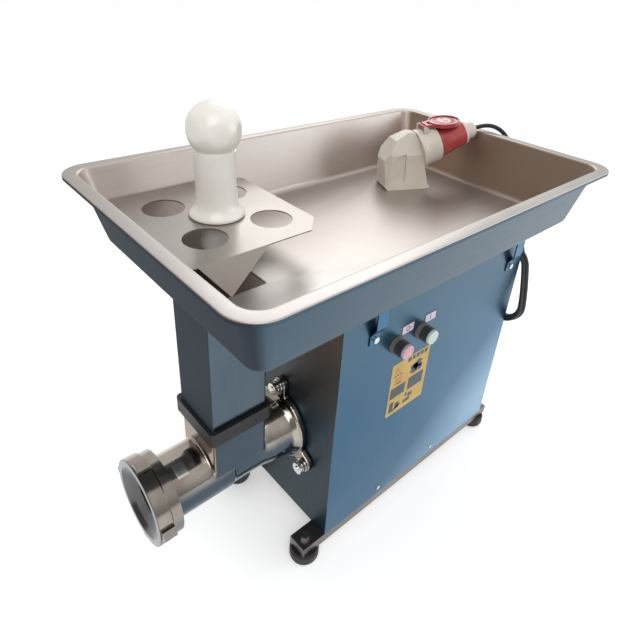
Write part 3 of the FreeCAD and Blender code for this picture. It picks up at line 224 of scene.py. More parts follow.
def steel(name, low, high, rough, grain, wobble, metal=1.0, sides=(), streaks=0.0, fade=None,
          dull=None, painted_inside=None):
    """Brushed or rolled metal: fine grain, slow tone changes from low to high and uneven gloss.

    Surfaces that face a Side take its colour; the Sides carry painted reflections and painted
    shade. The tone changes along the piece to a Fade's, a painted reflection. Surfaces that face
    dull, (direction, low, high), are rougher and less metallic. The walls that face an upright
    duct's centre line take a paler colour, painted light inside the duct.
    """
    mat, nt, bsdf = nodes_of(name)
    slow = noise_fac(nt, coords(nt), wobble, 3.0, 0.55)
    col = ramp(nt, slow, [(0.32, low), (0.68, high)])
    for side in sides:
        tinted = mixed(nt, SIDE_STRENGTH, col, side.colour)
        col = mixed(nt, facing(nt, side.direction, side.low, side.high), col, tinted)
    if fade:
        col = mixed(nt, along(nt, fade.direction, fade.start, fade.end), col, fade.colour)
    # Painted light: a duct's inner walls take a paler colour.
    if painted_inside:
        inner = remap(nt, outward(nt, painted_inside.centre), 0.0, -0.01)
        col = mixed(nt, inner, col, painted_inside.colour)
    fine = grain_fac(nt, grain)
    if streaks:
        shade = ramp(nt, fine, [(0.35, grey(1 - streaks)), (0.65, grey(1.0))])
        col = mixed(nt, 1.0, col, shade, "MULTIPLY")
    nt.links.new(col, bsdf.inputs["Base Color"])
    gloss = ramp(nt, fine, [(0.3, grey(rough - 0.06)), (0.7, grey(rough + 0.06))])
    bsdf.inputs["Metallic"].default_value = metal
    if dull:
        mask = facing(nt, *dull)
        gloss = mixed(nt, mask, gloss, grey(DULL_ROUGHNESS))
        nt.links.new(ramp(nt, mask, [(0.0, grey(metal)), (1.0, grey(DULL_METAL))]),
                     bsdf.inputs["Metallic"])
    nt.links.new(gloss, bsdf.inputs["Roughness"])
    bump(nt, bsdf, fine, 0.35, GRAIN_DEPTH)
    return mat


def plastic(name, low, high, rough, grain, depth=0.00004, coat=0.0, sss=0.0, scuff=0.0):
    """Moulded plastic, paint or rubber: slight tone changes, worn gloss and a fine texture."""
    mat, nt, bsdf = nodes_of(name)
    slow = noise_fac(nt, coords(nt), 14.0, 4.0, 0.6)
    col = ramp(nt, slow, [(0.3, low), (0.7, high)])
    if scuff:
        marks = noise_fac(nt, coords(nt, (1, 1, 6)), 90.0, 5.0, 0.7)
        col = mixed(nt, remap(nt, marks, 0.62, 0.78), col, mixed(nt, scuff, col, grey(0.35)))
    nt.links.new(col, bsdf.inputs["Base Color"])
    nt.links.new(ramp(nt, slow, [(0.3, grey(rough + 0.06)), (0.7, grey(rough - 0.05))]),
                 bsdf.inputs["Roughness"])
    bsdf.inputs["Coat Weight"].default_value = coat
    bsdf.inputs["Subsurface Weight"].default_value = sss
    bsdf.inputs["Subsurface Scale"].default_value = 0.01
    bump(nt, bsdf, noise_fac(nt, coords(nt), grain, 2.0, 0.5), 0.25, depth)
    return mat


def middle(node):
    """Centre of a node's box, as (x, y) in metres."""
    low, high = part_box(node)
    return ((low[0] + high[0]) / 2, (low[1] + high[1]) / 2)


def tray_steel():
    """Warm rolled steel in the pan with painted light and reflections, painted blue reflections
    outside, painted shade at the head's end.
    """
    rim_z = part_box("tray")[1][2]
    mat, nt, bsdf = nodes_of("tray_steel")
    slow = noise_fac(nt, coords(nt), 3.0, 3.0, 0.5)
    pan = ramp(nt, slow, [(0.30, (0.44, 0.400, 0.365)), (0.70, (0.51, 0.468, 0.432))])
    # Painted reflection: the pan's steel turns paler towards the user's side.
    near = ramp(nt, slow, [(0.30, (0.50, 0.47, 0.448)), (0.70, (0.60, 0.57, 0.545))])
    inside = mixed(nt, along(nt, (0.35, 0.94, 0), 0.02, -0.17), pan, near)
    # Painted light on the inner walls: the far wall and the head end's wall paler, the cord end's
    # wall darker and browner.
    inside = mixed(nt, facing(nt, TO_USER, 0.5, 0.8), inside, (0.60, 0.535, 0.49))
    inside = mixed(nt, facing(nt, TO_CORD, 0.5, 0.8), inside, (0.56, 0.50, 0.46))
    inside = mixed(nt, facing(nt, TO_HEAD, 0.4, 0.8), inside, (0.40, 0.30, 0.235))
    # Outside: a blue painted reflection, painted shade on the face turned towards the head's end,
    # and a greyer underside.
    outside = ramp(nt, slow, [(0.30, (0.048, 0.090, 0.128)), (0.70, (0.064, 0.110, 0.150))])
    outside = mixed(nt, facing(nt, TO_HEAD, 0.3, 0.7), outside, (0.016, 0.028, 0.042))
    outside = mixed(nt, facing(nt, DOWN, 0.5, 0.9), outside, (0.10, 0.11, 0.12))
    outer = remap(nt, outward(nt, middle("tray")), 0.08, 0.16)
    outer = maths(nt, "MAXIMUM", outer, facing(nt, DOWN, 0.5, 0.7))
    outer = maths(nt, "MULTIPLY", outer, along(nt, UP, rim_z - 0.0006, rim_z - 0.0022))
    fine = grain_fac(nt, (1.2, 40, 40))
    shade = ramp(nt, fine, [(0.35, grey(0.92)), (0.65, grey(1.0))])
    col = mixed(nt, outer, inside, outside)
    nt.links.new(mixed(nt, 1.0, col, shade, "MULTIPLY"), bsdf.inputs["Base Color"])
    gloss = ramp(nt, fine, [(0.3, grey(0.34)), (0.7, grey(0.44))])
    end = maths(nt, "MULTIPLY", outer, facing(nt, TO_HEAD, 0.3, 0.7))
    nt.links.new(ramp(nt, end, [(0.0, grey(0.88)), (1.0, grey(0.25))]), bsdf.inputs["Metallic"])
    nt.links.new(mixed(nt, end, gloss, grey(DULL_ROUGHNESS)), bsdf.inputs["Roughness"])
    bump(nt, bsdf, fine, 0.3, 0.00005)
    return mat


def body_film():
    """Blue film over sheet steel with an upright grain, bluer low down as a painted reflection and
    paler at the foot of the cord's end as painted light.
    """
    mat, nt, bsdf = nodes_of("body_steel")
    slow = noise_fac(nt, coords(nt), 1.7, 3.0, 0.5)
    high = ramp(nt, slow, [(0.3, (0.052, 0.112, 0.164)), (0.7, (0.070, 0.134, 0.190))])
    low = ramp(nt, slow, [(0.3, (0.022, 0.098, 0.184)), (0.7, (0.040, 0.130, 0.228))])
    pale = ramp(nt, slow, [(0.3, (0.170, 0.320, 0.460)), (0.7, (0.240, 0.390, 0.540))])
    # Painted reflection: bluer towards the bottom, greyer towards the top.
    col = mixed(nt, along(nt, UP, 0.60, 0.34), high, low)
    # Painted light: paler towards the foot of the cord's end.
    col = mixed(nt, along(nt, (0.8, 0, -1), -0.06, 0.18), col, pale)
    fine = grain_fac(nt, (60, 60, 1.0))
    nt.links.new(col, bsdf.inputs["Base Color"])
    nt.links.new(ramp(nt, fine, [(0.3, grey(0.27)), (0.7, grey(0.37))]), bsdf.inputs["Roughness"])
    bsdf.inputs["Metallic"].default_value = 0.85
    bump(nt, bsdf, fine, 0.3, 0.00005)
    return mat


# ---- the materials -----------------------------------------------------------------
# Blue painted reflection on the faces of the head and ring nut that turn down.
DOWN_BLUE_REFLECTION = Side((0, -0.25, -1), 0.05, 0.55, (0.040, 0.080, 0.125))
# Blue painted reflection on the head's faces turned towards the user.
SIDE_BLUE_REFLECTION = Side(TO_USER, 0.86, 0.98, (0.026, 0.060, 0.092))
# Brown painted reflection on the head's faces turned towards -X, such as its flange.
END_BROWN_REFLECTION = Side(TO_HEAD, 0.80, 0.98, (0.27, 0.205, 0.160))
# Painted shade on the ring nut's faces turned towards -X.
RING_PAINTED_SHADE = Side(TO_HEAD, 0.30, 0.80, (0.075, 0.080, 0.090))
# Painted shade on the feed chute's faces turned towards -X.
CHUTE_PAINTED_SHADE = Side(TO_HEAD, 0.5, 0.9, (0.014, 0.024, 0.036))
# Painted shade on the tray brackets' faces turned towards -X.
BRACKET_PAINTED_SHADE = Side(TO_HEAD, 0.5, 0.9, (0.012, 0.014, 0.018))
# Brown painted reflection towards the top of the front panel.
BROWN_TOP_REFLECTION = Fade(UP, 0.34, 0.56, (0.11, 0.078, 0.060))
# Painted light: the feed chute's inner walls are paler than its outside.
CHUTE_PAINTED_INSIDE = PaintedInside(middle("feed_chute"), (0.62, 0.54, 0.48))
LIGHT_DEPTH = 0.00003

M = {
    "tray": tray_steel(),
    "body": body_film(),
    "guard": steel("guard_steel", (0.36, 0.335, 0.31), (0.46, 0.43, 0.40), rough=0.34,
                   grain=(50, 1.2, 50), wobble=3.0, streaks=0.1),
    # Front panel: its near-black blue is painted shade under the pan, fading to a brown painted
    # reflection at the top.
    "front": steel("front_steel", (0.002, 0.018, 0.030), (0.006, 0.030, 0.046), rough=0.44,
                   grain=(60, 60, 1.0), wobble=1.6, metal=0.45, fade=BROWN_TOP_REFLECTION),
    "chute": steel("chute_steel", (0.085, 0.120, 0.150), (0.115, 0.150, 0.180), rough=0.24,
                   grain=(60, 60, 1.2), wobble=4.0, sides=[CHUTE_PAINTED_SHADE], streaks=0.12,
                   dull=(TO_HEAD, 0.5, 0.9), painted_inside=CHUTE_PAINTED_INSIDE),
    "cast": steel("cast_polish", (0.24, 0.205, 0.175), (0.50, 0.45, 0.395), rough=0.14,
                  grain=(5, 60, 60), wobble=9.0, sides=[END_BROWN_REFLECTION, SIDE_BLUE_REFLECTION, DOWN_BLUE_REFLECTION],
                  streaks=0.2),
    "ring": steel("ring_polish", (0.27, 0.24, 0.21), (0.46, 0.415, 0.365), rough=0.16,
                  grain=(60, 5, 5), wobble=9.0, sides=[RING_PAINTED_SHADE, DOWN_BLUE_REFLECTION], streaks=0.16),
    "bright": steel("bright_steel", (0.60, 0.58, 0.55), (0.78, 0.76, 0.73), rough=0.20,
                    grain=(30, 30, 30), wobble=20.0),
    "plate": steel("plate_steel", (0.07, 0.07, 0.075), (0.15, 0.14, 0.135), rough=0.26,
                   grain=(30, 30, 30), wobble=20.0),
    "bracket": steel("bracket_steel", (0.045, 0.135, 0.235), (0.065, 0.185, 0.31), rough=0.30,
                     grain=(30, 30, 4), wobble=8.0, sides=[BRACKET_PAINTED_SHADE]),
    "rail": steel("rail_steel", (0.17, 0.145, 0.13), (0.30, 0.27, 0.245), rough=0.36,
                  grain=(1.5, 60, 60), wobble=4.0, streaks=0.15),
    "gear": steel("gear_steel", (0.30, 0.29, 0.27), (0.45, 0.44, 0.42), rough=0.28,
                  grain=(40, 40, 40), wobble=30.0),
    "alu": steel("cast_alu", (0.38, 0.39, 0.40), (0.52, 0.53, 0.54), rough=0.42,
                 grain=(20, 20, 20), wobble=15.0),
    "copper": steel("copper", (0.42, 0.17, 0.07), (0.60, 0.28, 0.12), rough=0.35,
                    grain=(60, 60, 60), wobble=40.0),
    "white": plastic("white_plastic", (0.80, 0.76, 0.70), (0.88, 0.85, 0.80), rough=0.22,
                     grain=300, depth=LIGHT_DEPTH, coat=0.25, sss=0.08),
    "rubber": plastic("black_rubber", (0.005, 0.005, 0.007), (0.013, 0.013, 0.016), rough=0.50,
                      grain=500, scuff=0.05),
    "cable": plastic("cable_rubber", (0.006, 0.006, 0.008), (0.016, 0.016, 0.019), rough=0.36,
                     grain=700, scuff=0.08),
    "red": plastic("plug_red", (0.36, 0.040, 0.044), (0.47, 0.062, 0.064), rough=0.24,
                   grain=500, depth=LIGHT_DEPTH, coat=0.3),
    "cream": plastic("socket_cream", (0.60, 0.54, 0.465), (0.70, 0.64, 0.56), rough=0.32,
                     grain=500, depth=LIGHT_DEPTH, coat=0.1, scuff=0.2),
    "pale": plastic("pale_mark", (0.62, 0.56, 0.54), (0.72, 0.66, 0.62), rough=0.34, grain=500),
    "dark": plastic("dark_plastic", (0.012, 0.014, 0.018), (0.035, 0.038, 0.044), rough=0.42,
                    grain=600),
    "base_ring": plastic("button_base", (0.10, 0.088, 0.078), (0.15, 0.135, 0.12), rough=0.40,
                         grain=500),
    "grey": plastic("grey_plastic", (0.20, 0.21, 0.22), (0.30, 0.31, 0.32), rough=0.45,
                    grain=500),
    "case": plastic("painted_case", (0.10, 0.12, 0.13), (0.16, 0.18, 0.19), rough=0.42,
                    grain=300, depth=0.0001),
    "stop": plastic("stop_cap", (0.56, 0.20, 0.23), (0.66, 0.30, 0.32), rough=0.26,
                    grain=500, depth=LIGHT_DEPTH, coat=0.3),
    "start": plastic("start_cap", (0.34, 0.50, 0.44), (0.44, 0.58, 0.52), rough=0.26,
                     grain=500, depth=LIGHT_DEPTH, coat=0.3),
    "stop_rim": plastic("stop_rim", (0.46, 0.34, 0.40), (0.56, 0.42, 0.48), rough=0.30,
                        grain=500, depth=LIGHT_DEPTH, coat=0.2, sss=0.1),
    "start_rim": plastic("start_rim", (0.50, 0.60, 0.56), (0.62, 0.70, 0.66), rough=0.30,
                         grain=500, depth=LIGHT_DEPTH, coat=0.2, sss=0.1),
    "yellow": plastic("notice_yellow", (0.40, 0.26, 0.045), (0.50, 0.34, 0.075), rough=0.38,
                      grain=600),
    "navy": plastic("notice_navy", (0.018, 0.028, 0.040), (0.040, 0.055, 0.065), rough=0.38,
                    grain=600),
    "orange": plastic("notice_orange", (0.48, 0.13, 0.02), (0.56, 0.18, 0.04), rough=0.38,
                      grain=600),
    "label": plastic("label_white", (0.50, 0.48, 0.56), (0.60, 0.58, 0.64), rough=0.32,
                     grain=600),
    "maroon": plastic("label_border", (0.16, 0.03, 0.09), (0.22, 0.05, 0.12), rough=0.38,
                      grain=600),
}

MADE_OF = {
    "tray": ["tray"],
    "body": ["control_side_panel", "far_side_panel", "rear_panel"],
    "guard": ["guard_plate"],
    "front": ["front_panel"],
    "chute": ["feed_chute"],
    "cast": ["head_housing", "auger"],
    "ring": ["ring_nut"],
    "bright": ["coil_hook", "foot_nuts", "panel_bolts", "head_studs", "head_nuts", "plate_pin",
               "head_tag", "knife", "shaft_bearings"],
    "plate": ["orifice_plate"],
    "bracket": ["tray_brackets"],
    "rail": ["base_frame", "floor_plate", "top_plate"],
    "gear": ["output_gear", "output_shaft", "mid_shaft", "mid_gear", "motor_pinion",
             "motor_rotor"],
    "alu": ["motor_housing", "motor_shields"],
    "copper": ["motor_winding"],
    "white": ["pusher"],
    "rubber": ["chute_gasket", "rubber_feet", "shaft_seals"],
    "cable": ["power_cable", "cable_coil"],
    "red": ["plug_body", "socket_lid"],
    "cream": ["socket_box", "socket_collar", "lid_hinge_pin", "plug_ring", "plug_gland_nut"],
    "dark": ["motor_fan", "button_housings", "junction_box", "cable_gland"],
    "grey": ["contact_blocks", "contactor"],
    "case": ["gearbox_case", "gearbox_cover", "fan_cowl", "terminal_box"],
    "stop": ["stop_button"],
    "start": ["start_button"],
    "yellow": ["notice_plates"],
}


def dress(node, mat):
    """Gives a CAD node its material in every slot."""
    obj = NODES[node]
    if not obj.material_slots:
        obj.data.materials.append(mat)
    for slot in obj.material_slots:
        slot.material = mat


for material_key, node_names in MADE_OF.items():
    for node_name in node_names:
        dress(node_name, M[material_key])


EDGE_RADIUS = {
    "chute_gasket": 4.5, "socket_box": 2.2, "rubber_feet": 3.0, "guard_plate": 0.6,
    "tray_brackets": 0.8, "base_frame": 2.0, "feed_chute": 1.2, "plug_body": 1.0,
    "plug_ring": 1.2, "plug_gland_nut": 1.0, "socket_collar": 1.0, "ring_nut": 1.6,
    "junction_box": 3.0, "front_panel": 0.5, "panel_bolts": 0.4, "head_nuts": 0.6,
    "foot_nuts": 0.8, "socket_lid": 0.7,
}


def round_edges(node, radius):
    """Rounds the hard edges of a CAD node's look; its own mesh stays as it is."""
    mod = NODES[node].modifiers.new("round", "BEVEL")
    mod.width = radius * MM
    mod.segments = 3
    mod.limit_method = "ANGLE"
    mod.angle_limit = math.radians(35)
    mod.use_clamp_overlap = True
    mod.harden_normals = False


for node_name, edge_radius in EDGE_RADIUS.items():
    round_edges(node_name, edge_radius)


# ---- cord: junction box, hanging coil, over the rim, plug -------------------------------
CABLE_R = 5.0 * MM
GLAND = Vector((452.0, 20.0, 507.0)) * MM
LEAD_IN = ((-0.7, -1, -34), (-2, -10, -77), (-2, -42, -115), (-1, -82, -133))

COIL_CENTRE = Vector((449.0, -124.0, 465.5)) * MM
COIL_HALF_W, COIL_END_R, COIL_END_Z = 49.8 * MM, 48.6 * MM, 50.6 * MM
COIL_LEAN = math.radians(-9.7)
COIL_FROM, COIL_TO, STEPS_PER_TURN = -0.07, 3.25, 32
BUNDLE_X, BUNDLE_YZ = 9.1 * MM, 4.2 * MM

PLUG_END = Vector((437.0, 42.2, 810.0)) * MM
PLUG_ANGLE, PLUG_TILT = math.radians(-24), math.radians(17.6)
PLUG_AXIS = Vector((math.cos(PLUG_ANGLE) * math.cos(PLUG_TILT),
                    math.sin(PLUG_ANGLE) * math.cos(PLUG_TILT), math.sin(PLUG_TILT)))
FALLING = Vector((0.04, -0.55, -0.834)).normalized()
BOW_START, BOW_STEP, BOW_TURNS = 20 * MM, 31 * MM, (20, 51, 82)
LEAD_OUT = ((2, -24, -46), (-6, -50, -95), (-19, -74, -140), (-34, -97, -183),
            (-44, -118, -221), (-47, -138, -262))


def oval(turn, out, grow):
    """Point (y, z) of the coil's oval at a turn, from its bottom towards -Y.

    Its ends are arcs and its sides are flatter arcs. out moves the point off the middle line,
    and grow pushes the ends out to make up for the spline, which cuts inside its points.
    """
    r, h, w = COIL_END_R, COIL_END_Z, COIL_HALF_W
    back = (h * h - (w - r) ** 2) / (2 * (w - r))
    side_r = w + back
    lean = math.atan2(h, back)
    end_half = (math.pi / 2 - lean) * r
    side = 2 * lean * side_r
    half_length = 2 * end_half + side
    at = (turn % 1.0) * 2 * half_length
    second_half = at >= half_length - 1e-9
    if second_half:
        at -= half_length

    def end_radius(angle):
        """Radius at an angle from an end's tip: pushed out there, not where the side starts."""
        eased = max(0.0, math.cos(angle * math.pi / 2 * r / end_half)) ** 0.5
        return r * (1 + (grow - 1) * eased) + out

    if at <= end_half:
        a = at / r
        y, z = -math.sin(a) * end_radius(a), -h - math.cos(a) * end_radius(a)
    elif at <= end_half + side:
        a = -lean + (at - end_half) / side_r
        y, z = back - math.cos(a) * (side_r + out), math.sin(a) * (side_r + out)
    else:
        a = lean + (at - end_half - side) / r
        wide = end_radius(math.pi / 2 - a)
        y, z = -math.cos(a) * wide, h + math.sin(a) * wide
    return (-y, -z) if second_half else (y, z)


def coil_points():
    """The coil's turns, each strand a quarter further round the bundle than the last."""
    pts = []
    count = round((COIL_TO - COIL_FROM) * STEPS_PER_TURN)
    grow = 2 / (1 + math.cos(TAU * 1.7 / STEPS_PER_TURN))
    for i in range(count + 1):
        turn = COIL_FROM + (COIL_TO - COIL_FROM) * i / count
        around = (turn - COIL_TO) * math.pi / 2
        y, z = oval(turn, BUNDLE_YZ * math.sin(around), grow)
        pts.append(COIL_CENTRE + Vector((BUNDLE_X * math.cos(around),
                                         y * math.cos(COIL_LEAN) - z * math.sin(COIL_LEAN),
                                         y * math.sin(COIL_LEAN) + z * math.cos(COIL_LEAN))))
    return pts


def lead_out_points():
    """From the coil's end up to the plug, built from the plug down and turned round."""
    sweep = PLUG_AXIS.angle(FALLING)
    out = [PLUG_END.copy(), PLUG_END + PLUG_AXIS * BOW_START]
    for degrees in BOW_TURNS:
        a = math.radians(degrees)
        way = PLUG_AXIS * (math.sin(sweep - a) / math.sin(sweep))
        way = way + FALLING * (math.sin(a) / math.sin(sweep))
        out.append(out[-1] + way * BOW_STEP)
    last = out[-1].copy()
    out += [last + Vector(d) * MM for d in LEAD_OUT]
    return out[::-1]


def make_cord():
    points = [GLAND.copy()] + [GLAND + Vector(d) * MM for d in LEAD_IN]
    points += coil_points() + lead_out_points()
    curve = bpy.data.curves.new("cord", "CURVE")
    curve.dimensions = "3D"
    spline = curve.splines.new("NURBS")
    spline.points.add(len(points) - 1)
    for point, place in zip(spline.points, points):
        point.co = (*place, 1)
    spline.order_u = 3
    spline.use_endpoint_u = True
    spline.resolution_u = 8
    curve.bevel_depth = CABLE_R
    curve.bevel_resolution = 6
    curve.use_fill_caps = True
    curve.materials.append(M["cable"])
    obj = bpy.data.objects.new("cord", curve)
    bpy.context.scene.collection.objects.link(obj)
    return obj


cord = make_cord()
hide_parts("power_cable", "cable_coil")
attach(cord, "frame")


# ---- mesh building blocks, in millimetres -------------------------------------------
def piece(name, bm, mat, body, replaces=(), smooth=35):
    """Puts a mesh on its body as an object; edges sharper than smooth degrees stay sharp."""
    bmesh.ops.recalc_face_normals(bm, faces=bm.faces)
    me = bpy.data.meshes.new(name)
    bm.to_mesh(me)
    bm.free()
    me.materials.append(M[mat])
    obj = bpy.data.objects.new(name, me)
    bpy.context.scene.collection.objects.link(obj)
    for p in me.polygons:
        p.use_smooth = True
    me.set_sharp_from_angle(angle=math.radians(smooth))
    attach(obj, body)
    if replaces:
        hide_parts(*replaces)
    return obj


def bridge(bm, rings, loop=False, cap_start=False, cap_end=False):
    """Closed rings of equal count joined side by side."""
    made = [[bm.verts.new(p) for p in ring] for ring in rings]
    pairs = list(zip(made, made[1:])) + ([(made[-1], made[0])] if loop else [])
    for a, b in pairs:
        n = len(a)
        for k in range(n):
            bm.faces.new((a[k], a[(k + 1) % n], b[(k + 1) % n], b[k]))
    if cap_start:
        bm.faces.new(made[0][::-1])
    if cap_end:
        bm.faces.new(made[-1])


def rounded(x0, x1, y0, y1, z, r, steps=8):
    """Rectangle with corners of radius r, as points in metres."""
    pts = []
    for cx, cy, start in ((x1 - r, y0 + r, -90), (x1 - r, y1 - r, 0), (x0 + r, y1 - r, 90),
                          (x0 + r, y0 + r, 180)):
        for i in range(steps + 1):
            a = math.radians(start + 90 * i / steps)
            pts.append(Vector((cx + r * math.cos(a), cy + r * math.sin(a), z)) * MM)
    return pts


def bend(a, b, c, steps):
    """Rounds the corner b between a and c; each is a tuple of numbers."""
    out = []
    for i in range(steps + 1):
        t = i / steps
        out.append(tuple(p * (1 - t) ** 2 + 2 * q * t * (1 - t) + s * t * t
                         for p, q, s in zip(a, b, c)))
    return out


def lathe(name, profile, centre, axis, mat, body, replaces=(), count=64, smooth=40):
    """Turned piece: profile is (radius, distance along the axis)."""
    axis = Vector(axis).normalized()
    side = axis.orthogonal().normalized()
    other = axis.cross(side)
    rings = []
    for r, d in profile:
        middle_point = Vector(centre) + axis * d
        ring = []
        for k in range(count):
            a = TAU * k / count
            ring.append((middle_point + (side * math.cos(a) + other * math.sin(a)) * r) * MM)
        rings.append(ring)
    bm = bmesh.new()
    bridge(bm, rings, cap_start=True, cap_end=True)
    bmesh.ops.remove_doubles(bm, verts=bm.verts, dist=1e-6)
    return piece(name, bm, mat, body, replaces, smooth)


def plate(bm, x0, x1, y0, y1, z0, z1, r):
    """Thin upright plate in the XZ plane with rounded corners."""
    rings = []
    for y in (y0, y1):
        rings.append([Vector((p.x, y * MM, p.y)) for p in rounded(x0, x1, z0, z1, 0, r, 3)])
    bridge(bm, rings, cap_start=True, cap_end=True)


def cut_plate(bm, outline, y0, y1):
    """Thin upright plate in the XZ plane from its (x, z) outline."""
    bridge(bm, [[Vector((x, y, z)) * MM for x, z in outline] for y in (y0, y1)],
           cap_start=True, cap_end=True)


# ---- tray ---------------------------------------------------------------------------
SHEET = 2.0
tray_low, tray_high = (Vector(v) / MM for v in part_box("tray"))
chute_low, chute_high = (Vector(v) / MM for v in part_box("feed_chute"))
RIM_TOP, FLOOR = tray_high.z, tray_low.z
PAN_TOP = FLOOR + SHEET
RIM_W = 23.0
LIP_DROP, LIP_ROLL = 7.0, 1.6
PAN_CORNER, MOUTH_CORNER = 24.0, 32.0
MOUTH = (tray_low.x + RIM_W, tray_high.x - RIM_W, tray_high.y - RIM_W)
BOTTOM = (MOUTH[0] + 30.5, MOUTH[1] - 17.0, MOUTH[2] - 30.5)
THROAT = (chute_low.x + SHEET, chute_high.x - SHEET, chute_high.y - SHEET)
THROAT_EDGE = 3.5
FOOT_IN, FOOT_UP = 13.0, 0.085


def wall_level(t, out):
    """Level of the pan's wall: t is 0 at its foot and 1 at the mouth, out is the sheet's side."""
    x0, x1, y = (low + (high - low) * t for low, high in zip(BOTTOM, MOUTH))
    z = PAN_TOP + (RIM_TOP - PAN_TOP) * t
    corner = PAN_CORNER + (MOUTH_CORNER - PAN_CORNER) * t + out
    return (x0 - out, x1 + out, y + out, z - out * 0.2, corner)


def floor_level(inset, z):
    return (BOTTOM[0] + inset, BOTTOM[1] - inset, BOTTOM[2] - inset, z, PAN_CORNER - inset * 0.4)


def rim_level(out, z):
    return (MOUTH[0] - out, MOUTH[1] + out, MOUTH[2] + out, z, MOUTH_CORNER + out * 0.72)


def throat_level(out, z):
    return (THROAT[0] - out, THROAT[1] + out, THROAT[2] + out, z, 3 + out)


def tray_shell():
    """Pan with rounded bends, a flat rim, a turned lip and a square throat, one closed sheet.

    A level is (x0, x1, half width, z, corner radius). They run from the throat up the inside,
    over the rim and back down the outside.
    """
    under = RIM_TOP - SHEET
    lip_in = RIM_W - SHEET
    levels = bend(throat_level(0, FLOOR + 0.2), throat_level(0, PAN_TOP),
                  throat_level(THROAT_EDGE, PAN_TOP), 3)
    levels += bend(floor_level(FOOT_IN, PAN_TOP), wall_level(0, 0), wall_level(FOOT_UP, 0), 5)
    levels += bend(wall_level(0.965, 0), wall_level(1, 0), rim_level(4, RIM_TOP), 5)
    levels += bend(rim_level(RIM_W - LIP_ROLL, RIM_TOP), rim_level(RIM_W, RIM_TOP),
                   rim_level(RIM_W, RIM_TOP - LIP_ROLL), 4)
    levels += [rim_level(RIM_W, RIM_TOP - LIP_DROP), rim_level(lip_in, RIM_TOP - LIP_DROP)]
    levels += bend(rim_level(lip_in, RIM_TOP - 4), rim_level(lip_in, under),
                   rim_level(RIM_W - 5, under), 3)
    levels += bend(rim_level(8, under), wall_level(0.985, SHEET), wall_level(0.945, SHEET), 4)
    levels += bend(wall_level(FOOT_UP, SHEET),
                   (BOTTOM[0] - SHEET, BOTTOM[1] + SHEET, BOTTOM[2] + SHEET, FLOOR,
                    PAN_CORNER + SHEET),
                   floor_level(FOOT_IN, FLOOR), 5)
    levels += [throat_level(THROAT_EDGE, FLOOR)]
    bm = bmesh.new()
    bridge(bm, [rounded(x0, x1, -y, y, z, r, 10) for x0, x1, y, z, r in levels], loop=True)
    piece("tray_shell", bm, "tray", "frame", ["tray"], 30)


tray_shell()


# ---- head ---------------------------------------------------------------------------
CAST_VOXEL, CAST_ROUNDS = 1.8, 9


def head_casting():
    """The head's shape remeshed and relaxed, so that its corners get cast fillets."""
    obj = bpy.data.objects.new("tmp", NODES["head_housing"].data.copy())
    bpy.context.scene.collection.objects.link(obj)
    remesh = obj.modifiers.new("skin", "REMESH")
    remesh.mode = "VOXEL"
    remesh.voxel_size = CAST_VOXEL * MM
    relax = obj.modifiers.new("relax", "SMOOTH")
    relax.factor = 0.5
    relax.iterations = CAST_ROUNDS
    bpy.context.view_layer.update()
    graph = bpy.context.evaluated_depsgraph_get()
    me = bpy.data.meshes.new_from_object(obj.evaluated_get(graph))
    bpy.data.objects.remove(obj)
    bm = bmesh.new()
    bm.from_mesh(me)
    piece("head_housing_cast", bm, "cast", "frame", ["head_housing"], 60)


head_casting()


# ---- pusher -------------------------------------------------------------------------
GUARD_TOP = 746.0
STEM_R = 30.5
KNOB_R, KNOB_BELOW_TOP = 44.9, 45.0
KNOB_JOINT = 33.0
FACETS, FACET_TURN, FACET_DEPTH, FACET_FLATNESS = 6, -50, 0.93, 0.92


def facet_knob(obj, centre):
    """Presses soft upright facets into the ball round its centre, in metres."""
    for v in obj.data.vertices:
        if v.co.z < centre.z - 30 * MM:
            continue
        d = v.co - centre
        for i in range(FACETS):
            a = math.radians(360 / FACETS * i + FACET_TURN)
            n = Vector((math.cos(a), math.sin(a), 0))
            over = d.dot(n) - KNOB_R * FACET_DEPTH * MM
            if over > 0:
                d -= n * over * FACET_FLATNESS
        v.co = centre + d
    obj.data.update()


def pusher():
    """Stem, resting flare, waisted neck and a softly faceted ball."""
    low, high = (Vector(v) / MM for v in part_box("pusher"))
    x, y = (low.x + high.x) / 2, (low.y + high.y) / 2
    foot = low.z
    knob_z = high.z - KNOB_BELOW_TOP
    stem = [(0, foot), (26, foot), (29.5, foot + 1), (STEM_R, foot + 4), (STEM_R, GUARD_TOP + 0.5)]
    flare = [(46.3, 0.5), (47.6, 1.6), (47.9, 3.6), (47.3, 6.2), (45.2, 9.2), (41.8, 13.4),
             (38.6, 18.6), (36.6, 25), (35.2, 34), (34.3, 48), (34.0, 66)]
    profile = stem + [(r, GUARD_TOP + d) for r, d in flare] + [(34.0, knob_z - 34)]
    joint = math.asin(-KNOB_JOINT / KNOB_R)
    for i in range(19):
        a = joint + (math.pi / 2 - joint) * i / 18
        profile.append((max(KNOB_R * math.cos(a), 0.0), knob_z + KNOB_R * math.sin(a)))
    obj = lathe("pusher_body", profile, (x, y, 0), UP, "white", "stamper",
                ["pusher"], 96, 60)
    facet_knob(obj, Vector((x, y, knob_z - 6)) * MM)


pusher()


# ---- push buttons, labels and notice --------------------------------------------------
PANEL_Y = -153.0
BUTTON_Z = 501.0
STOP_X, START_X = 0.0, 75.0
CAP_R, CAP_BACK, CAP_FRONT = 15.4, 13.0, 33.0
SLEEVE_IN, SLEEVE_OUT = 15.9, 17.45
SLEEVE_GROOVE = 16.7
RIBS, RIB_FROM, RIB_PITCH = 4, 9.2, 4.2


